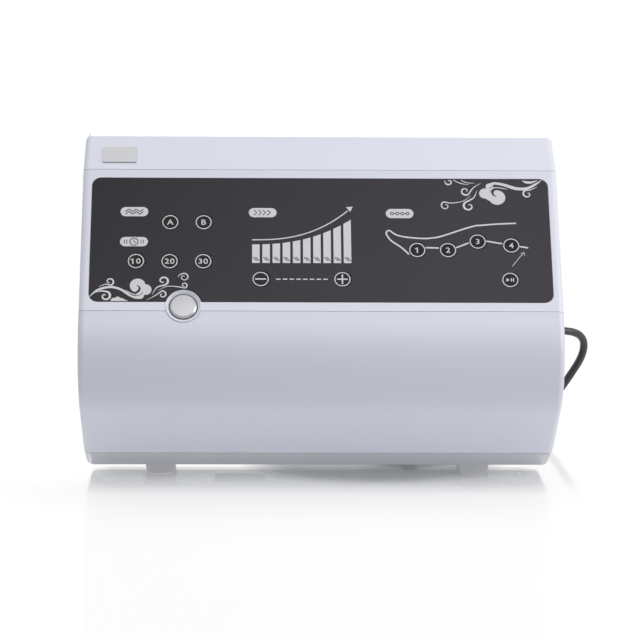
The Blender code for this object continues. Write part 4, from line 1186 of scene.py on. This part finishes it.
def print_leg():
    line = 1.25
    ink = Ink()
    ink.stroke([(149.3, 76.2), (134, 75.4), (122.6, 74.3), (118.8, 74.0), (110.5, 71.4),
                (92.3, 64.7), (84.5, 63.1), (78.2, 62.7), (68.0, 63.5), (59.9, 65.0), (56.0, 67.0),
                (52.6, 69.6), (50.7, 68.6), (50.4, 66.4), (52.0, 63.2), (54.6, 60.1), (58.6, 57.1),
                (61.8, 54.6), (64.5, 51.9), (66.8, 49.3)], line, smooth=0.8)
    for ends in (((80.5, 54.7), (89.5, 54.5)), ((103.5, 54.8), (112.6, 58.8)),
                 ((126.8, 60.5), (137.9, 58.4)), ((152.0, 55.9), (157.6, 54.9))):
        ink.stroke(ends, line)
    ink.stroke([(154.6, 50.4), (150.8, 46.0), (145.5, 39.0)], 0.45)
    ink.stroke([(152.0, 49.9), (154.9, 50.9), (155.1, 48.0)], 0.4)
    ink.finish("leg_outline")


def print_signs():
    """Four pale pills, each with a dark sign: waves, a clock, rising chevrons, a row of dots."""
    mode, time, pressure, position = (-141.7, 85.35), (-141.5, 59.2), (-43.85, 84.85), (60.9, 84.45)
    pills, signs = Ink(), Ink(layer=3)
    for centre in (mode, time, pressure, position):
        pills.patch(rounded_rectangle(21.2, 8.1, 4.04, centre))
    for rise in (-1.1, 1.1):
        wave = [-6.6 + 0.55 * i for i in range(25)]
        signs.stroke([(mode[0] + x, mode[1] + rise + 0.9 * math.sin(x * 1.15)) for x in wave], 0.75)
    x, y = time
    signs.ring(time, 6.2, 0.75)
    signs.stroke([(x, y + 1.9), time, (x + 1.5, y - 0.9)], 0.65)
    for shift in (-5.4, -7.2, 5.4, 7.2):
        signs.stroke([(x + shift, y - 1.4), (x + shift, y + 1.4)], 0.6)
    for i in range(4):
        x, y = pressure[0] - 5.6 + 3.4 * i, pressure[1]
        signs.stroke([(x - 0.8, y - 2.0), (x + 1.2, y), (x - 0.8, y + 2.0)], 0.75)
    for i in range(4):
        x, y = position[0] - 6.0 + 4.0 * i, position[1]
        signs.ring((x, y), 2.3, 0.65, 32)
        if i:
            signs.stroke([(x - 2.75, y), (x - 1.25, y)], 0.5)
    pills.finish("sign_pills")
    signs.finish("sign_marks", dark_print)


def print_cloud(ink, discs, eye, brow, shadow):
    """A scalloped head of overlapping discs, with a dark spiral into it and a thin brow line."""
    for x, y, radius in discs:
        ink.patch(circle(radius, 40, (x, y)))
    ink.tone = 1
    ink.stroke(eye, smooth=0.4)
    ink.stroke(shadow, 0.5, smooth=0.5)
    ink.tone = 0
    ink.stroke(brow, 0.75, smooth=0.5)


def print_low_scrolls():
    ink = Ink()
    ink.stroke([(-173.8, 11.9, 0.5), (-168.0, 17.4, 1.7), (-159.0, 20.1, 1.9), (-151.0, 18.3, 1.8),
                (-144.4, 13.8, 2.1), (-138.3, 11.2, 2.3), (-133.8, 12.7, 1.8)], smooth=0.6)
    print_cloud(ink, ((-137.9, 21.4, 5.9), (-131.9, 17.9, 4.5), (-136.0, 13.0, 3.0)),
                [(-138.3, 21.5, 0.6), (-136.9, 20.5, 1.1), (-136.4, 18.6, 1.6), (-137.2, 16.7, 1.8),
                 (-139.4, 15.3, 1.5), (-142.2, 15.6, 1.6), (-145.5, 17.8, 2.0)],
                [(-147.0, 17.6, 0.2), (-143.9, 15.4), (-141.1, 14.1), (-138.4, 13.7),
                 (-136.1, 14.6), (-134.8, 16.6)],
                [(-144.0, 14.6), (-141.2, 13.1), (-138.3, 12.8), (-135.5, 13.7), (-133.9, 15.6)])
    ink.scroll([(-167.0, 20.3), (-162.0, 22.5), (-158.0, 21.8)], (-159.1, 24.6), 330, 1.4)
    ink.scroll([(-170.3, 15.1), (-165.4, 16.6), (-160.6, 16.0)], (-162.0, 12.6), -330, 1.9)
    ink.scroll([(-126.9, 13.9), (-123.3, 19.8), (-117.0, 22.2)], (-118.7, 25.4), 350, 1.7)
    ink.scroll([(-122.7, 17.0), (-116.0, 20.7), (-108.2, 20.5), (-102.2, 19.6)], (-102.9, 21.7),
               340, 1.1)
    ink.scroll([(-130.8, 9.1), (-124.6, 12.9), (-119.6, 16.7)], (-119.2, 13.9), -330, 1.3)
    ink.scroll([(-107.9, 28.5), (-106.4, 30.7), (-103.9, 31.8)], (-103.1, 28.8), -400, 1.1)
    ink.patch([(-158.0, 8.2), (-144.5, 8.2), (-147.6, 9.6), (-149.3, 10.8), (-150.8, 10.9),
               (-152.1, 11.9), (-153.5, 11.9), (-154.6, 10.8), (-156.0, 10.9), (-157.4, 10.0)])
    ink.finish("scroll_ornament_low", second=panel_film)


def print_high_scrolls():
    ink = Ink()
    ink.stroke([(170.7, 114.3, 0.4), (166.0, 110.6, 1.7), (159.0, 107.0, 2.2), (151.0, 106.9, 2.6),
                (141.3, 110.2, 2.3), (133.9, 111.4, 2.1), (129.6, 109.6, 1.8)], smooth=0.6)
    print_cloud(ink, ((136.0, 98.9, 6.4), (126.9, 102.4, 4.5), (130.6, 108.4, 3.0),
                      (130.8, 99.6, 3.6)),
                [(135.4, 99.8, 0.6), (133.7, 100.7, 1.2), (132.7, 102.8, 1.7), (133.4, 105.0, 1.8),
                 (135.4, 106.3, 1.5), (138.5, 106.5, 1.6), (142.5, 105.6, 2.2)],
                [(144.5, 106.1, 0.2), (141.1, 106.9), (137.5, 107.6), (134.1, 107.5),
                 (132.0, 106.3), (131.2, 104.3)],
                [(143.5, 107.3), (139.5, 108.5), (135.5, 108.9), (132.4, 108.3), (130.5, 106.8)])
    ink.scroll([(167.5, 108.5), (162.0, 105.8), (158.0, 105.2)], (159.6, 102.3), 300, 1.5)
    ink.scroll([(123.8, 111.5), (118.0, 107.3), (114.0, 101.7)], (112.0, 104.4), -320, 1.5)
    ink.scroll([(120.9, 105.0), (118.0, 98.6), (111.9, 94.7)], (114.1, 91.4), 320, 1.8)
    ink.scroll([(116.0, 100.4), (109.4, 95.5), (101.0, 93.9), (95.2, 94.7)], (96.2, 91.6), 330, 1.2)
    ink.scroll([(96.0, 114.1), (96.8, 111.6)], (99.2, 112.8), 260, 1.4)
    for wisp in (
            [(103.0, 114.2, 0.6), (106.9, 112.0, 0.8), (110.6, 110.8, 0.6), (114.8, 110.2, 0.2)],
            [(108.9, 114.2, 0.5), (111.8, 112.5, 0.7), (115.5, 111.6, 0.5), (119.2, 111.6, 0.2)],
            [(156.0, 114.0, 0.3), (158.6, 112.6, 1.9), (162.0, 112.3, 2.0), (165.0, 113.0, 1.3),
             (167.8, 114.1, 0.3)]):
        ink.stroke(wisp, smooth=0.5)
    ink.finish("scroll_ornament_high", second=panel_film)


# Back, underside and small parts

def cross_recess(place, top):
    """The two crossed tools of a recess that narrows towards its foot."""
    size = screw_head_radius * 1.2
    return [loft([[place @ Vector((x, y, z)) for x, y in rectangle(wide * share, tall * share)]
                  for share, z in ((0.55, top - screw_recess), (1.0, top + overrun / 4))])
            for wide, tall in ((size, size / 4), (size / 4, size))]


def make_screw(name, place, seat, tip, stands_for):
    """Height in the place's frame runs from the head's seat to the screw's tip."""
    out = 1 if seat > tip else -1
    top = seat + out * screw_head_height
    outline = [(screw_head_radius * 0.86, top), (screw_head_radius * 0.97, top - out * screw_edge),
               (screw_head_radius, top - out * 2.5 * screw_edge), (screw_head_radius, seat),
               (screw_radius, seat)]
    for i in range(screw_turns):
        outline += [(screw_radius - sunk * screw_edge,
                     seat + (tip - seat) * (i + share) / screw_turns)
                    for share, sunk in ((0.15, 0), (0.5, 1), (0.85, 0))]
    outline.append((screw_radius * 0.5, tip))
    solid = turned(outline, place, 32)
    face = place if out > 0 else place @ Matrix.Rotation(math.pi, 4, "X")
    cut(solid, *cross_recess(face, out * top))
    piece(name, plated_steel, solid, stands_for, slot="steel")


def corner_names(*ends):
    return [f"{side}_{end}" for side in ("left", "right") for end in ends]


def make_screws():
    for corner, (x, y) in zip(corner_names("front", "rear"), base_screw_places):
        make_screw(f"base_cross_screw_{corner}", upright_at(x, y), floor_top - gap,
                   block_floor + screw_bite, f"base_screw_{corner}")
    for corner, (x, z) in zip(corner_names("low", "high"), rear_screw_places):
        make_screw(f"rear_cross_screw_{corner}", rear_at(x, z), -wall + gap,
                   -rear_cover_depth - screw_bite, f"rear_screw_{corner}")


def make_feet():
    outline = [(foot_radius * 0.45, foot_dimple), (foot_radius * 0.55, 0.0)]
    outline += rim_arc((foot_radius - 2 * foot_taper, foot_taper), foot_taper, -90, -20)
    outline.append((foot_radius, foot_height - gap))
    for corner, (x, y) in zip(corner_names("front", "rear"), foot_places):
        piece(f"foot_{corner}", foot_rubber, turned(outline, upright_at(x, y), 64),
              f"rubber_foot_{corner}", slot="rubber_grey")


def make_hose_ports():
    top = gap + port_plate_thickness
    plate = rounded_rectangle(*port_plate, port_plate_corner)
    ports = extrude(plate, gap, top, rear_at(port_middle, port_z))
    barb = (port_reach - top) / port_barbs
    nipple = [(port_shank_radius, -port_inner), (port_shank_radius, top - gap),
              (port_neck_radius, top - gap)]
    for i in range(port_barbs):
        nipple += [(radius, top + barb * (i + share)) for radius, share in (
            (port_neck_radius, 0.15), (port_barb_radius - 0.0001, 0.28), (port_barb_radius, 0.36),
            (port_neck_radius, 1))]
    for x in port_places:
        place = rear_at(x, port_z)
        add(ports, turned(nipple, place))
        cut(ports, disc(port_bore_radius, -port_inner - overrun, port_reach + overrun, place, 32))
    piece("hose_connectors", grey_plastic, ports, "hose_ports", slot="moulded_grey",
          edge=edge_round / 2)


def make_fuse_holder():
    top = gap + fuse_cap_thickness
    outline = [(fuse_radius, -wall - fuse_length), (fuse_radius, gap), (fuse_cap_radius, gap),
               (fuse_cap_radius, top - fuse_cap_edge), (fuse_cap_radius - fuse_cap_edge, top)]
    place = rear_at(fuse_x, inlet_z)
    holder = turned(outline, place, 64)
    cut(holder, extrude(rectangle(*fuse_slot), top - fuse_cap_thickness / 2, top + overrun, place))
    piece("fuse_carrier", black_plastic, holder, "fuse_holder", slot="part_black",
          edge=edge_round / 2)


def finish_inner_nodes():
    """Finishes for the solids inside the case, which keep their own shapes."""
    inner = {
        black_plastic: "power_switch pump_head_left pump_head_right solenoid_bank",
        circuit_board: "control_board power_board",
        cast_metal: "pump_body",
        plated_steel: "pump_armature "
                      "valve_plunger_1 valve_plunger_2 valve_plunger_3 valve_plunger_4",
        wound_copper: "pump_coil_lower pump_coil_upper transformer_winding",
        foot_rubber: "pump_mount_left pump_mount_right",
        grey_plastic: "valve_block",
        air_tube: "air_supply_tube",
        laminated_steel: "transformer_core",
        flat_cable: "ribbon_cable",
    }
    for finish, names in inner.items():
        for name in names.split():
            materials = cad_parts[name].data.materials
            for i in range(len(materials)):
                materials[i] = finish


# Stage and light

def white_to_camera(tree, plain, white, output):
    """Camera, glossy and transmission rays see the white shader; light rays see the plain one."""
    rays = node(tree, "LightPath")
    seen = node(tree, "Math", rays["Is Camera Ray"], rays["Is Glossy Ray"], operation="MAXIMUM")[0]
    seen = node(tree, "Math", seen, rays["Is Transmission Ray"], operation="MAXIMUM")[0]
    node(tree, output, node(tree, "MixShader", seen, plain, white)[0])


def floor_surface(tree):
    """White where the camera looks, with a slightly blurred mirror that fades in towards the case;
    the mirror's colour carries painted shade in a band under the case's front, and a darker patch
    of floor under the case is a painted shadow.
    """
    place = node(tree, "NewGeometry")["Position"]
    x, y, _ = node(tree, "SeparateXYZ", place)
    away = node(tree, "VectorMath", place, operation="LENGTH")["Value"]

    pale = node(tree, "BsdfDiffuse", table_tone)[0]
    glow = node(tree, "Emission", white, ramp(tree, away, *glow_span))[0]
    plain = node(tree, "MixShader", 0.5, pale, glow)[0]

    shade = node(tree, "BsdfDiffuse", shade_tone)[0]
    bright = node(tree, "Emission", white)[0]
    lit = node(tree, "MixShader", ramp(tree, away, *bare_span), bright, shade)[0]

    sideways = node(tree, "Math", x, operation="ABSOLUTE")[0]
    # Painted shade: the mirror's colour is darkened in a band under the case's front, less towards
    # the sides
    painted_reflection_shade = product(tree, ramp(tree, y, *reflection_shade_front), ramp(tree, y, *reflection_shade_back))
    painted_reflection_shade = product(tree, painted_reflection_shade, ramp(tree, sideways, *reflection_shade_sides))
    mirror_tone = node(tree, "Math", 1.0, painted_reflection_shade, operation="SUBTRACT")[0]
    mirror = node(tree, "BsdfAnisotropic", mirror_tone, mirror_roughness)[0]
    share = product(tree, ramp(tree, y, *mirror_front), ramp(tree, x, *mirror_side))
    polished = node(tree, "MixShader", share, lit, mirror)[0]

    # Painted shadow: a soft darker patch of floor under the middle and right of the case
    offset = node(tree, "VectorMath", place, shadow_middle, operation="SUBTRACT")["Vector"]
    stretched = node(tree, "VectorMath", offset, shadow_reach, operation="DIVIDE")["Vector"]
    far = node(tree, "VectorMath", stretched, operation="LENGTH")["Value"]
    under = node(tree, "BsdfDiffuse", painted_shadow_tone)[0]
    shaded = node(tree, "MixShader", ramp(tree, far, *shadow_edge), polished, under)[0]
    white_to_camera(tree, plain, shaded, "OutputMaterial")


def make_floor():
    mesh = bpy.data.meshes.new("studio_floor")
    corners = [(x, y, 0) for x, y in rectangle(floor_size, floor_size)]
    mesh.from_pydata(corners, [], [range(len(corners))])
    floor = bpy.data.objects.new("studio_floor", mesh)
    bpy.context.scene.collection.objects.link(floor)
    material = bpy.data.materials.new("studio_floor")
    material.use_nodes = True
    material.node_tree.nodes.clear()
    floor_surface(material.node_tree)
    mesh.materials.append(material)


def make_world():
    """Light from overhead only, in front of a white that the camera sees."""
    world = bpy.data.worlds.new("studio")
    bpy.context.scene.world = world
    world.use_nodes = True
    tree = world.node_tree
    tree.nodes.clear()
    height = node(tree, "SeparateXYZ", node(tree, "TexCoord")["Generated"])["Z"]
    plain = node(tree, "Background", white, ramp(tree, height, *sky_span))[0]
    white_to_camera(tree, plain, node(tree, "Background", white, 1.0)[0], "OutputWorld")


def area_lamp(name, place, aim_height, size, power, gloss=0.12):
    data = bpy.data.lights.new(name, "AREA")
    data.shape = "ELLIPSE"
    data.size, data.size_y = size
    data.energy = power
    data.specular_factor = gloss
    lamp = bpy.data.objects.new(name, data)
    lamp.location = place
    lamp.rotation_mode = "QUATERNION"
    lamp.rotation_quaternion = (Vector((0, 0, aim_height)) - Vector(place)).to_track_quat("-Z", "Y")
    lamp.visible_camera = False
    bpy.context.scene.collection.objects.link(lamp)


place_camera()
lead, lead_exit = make_lead()
lead_pieces = [make_gland(), make_cord_tie(), *make_plug()]
make_front_case()
make_base_tray()
make_rear_cover()
make_bezel()
make_overlay()
make_keys()
make_power_button()
make_badge()
print_keys()
print_pressure_scale()
print_leg()
print_signs()
print_low_scrolls()
print_high_scrolls()
make_screws()
make_feet()
make_hose_ports()
make_fuse_holder()
finish_inner_nodes()
make_floor()
make_world()
area_lamp("right_lamp", (1.9, -0.5, 0.9), 0.15, (1.4, 1.4), 19, gloss=0.06)
area_lamp("left_lamp", (-1.9, -0.5, 0.9), 0.15, (1.4, 1.4), 1.0, gloss=0.5)
area_lamp("rim_lamp", (0, 2.2, 1.15), 0.2, (1.6, 0.8), 16)
area_lamp("front_lamp", (0, -1.6, 1.9), 0.15, (1.6, 1.6), 8, gloss=0.0)
bpy.context.scene.view_settings.view_transform = "Standard"
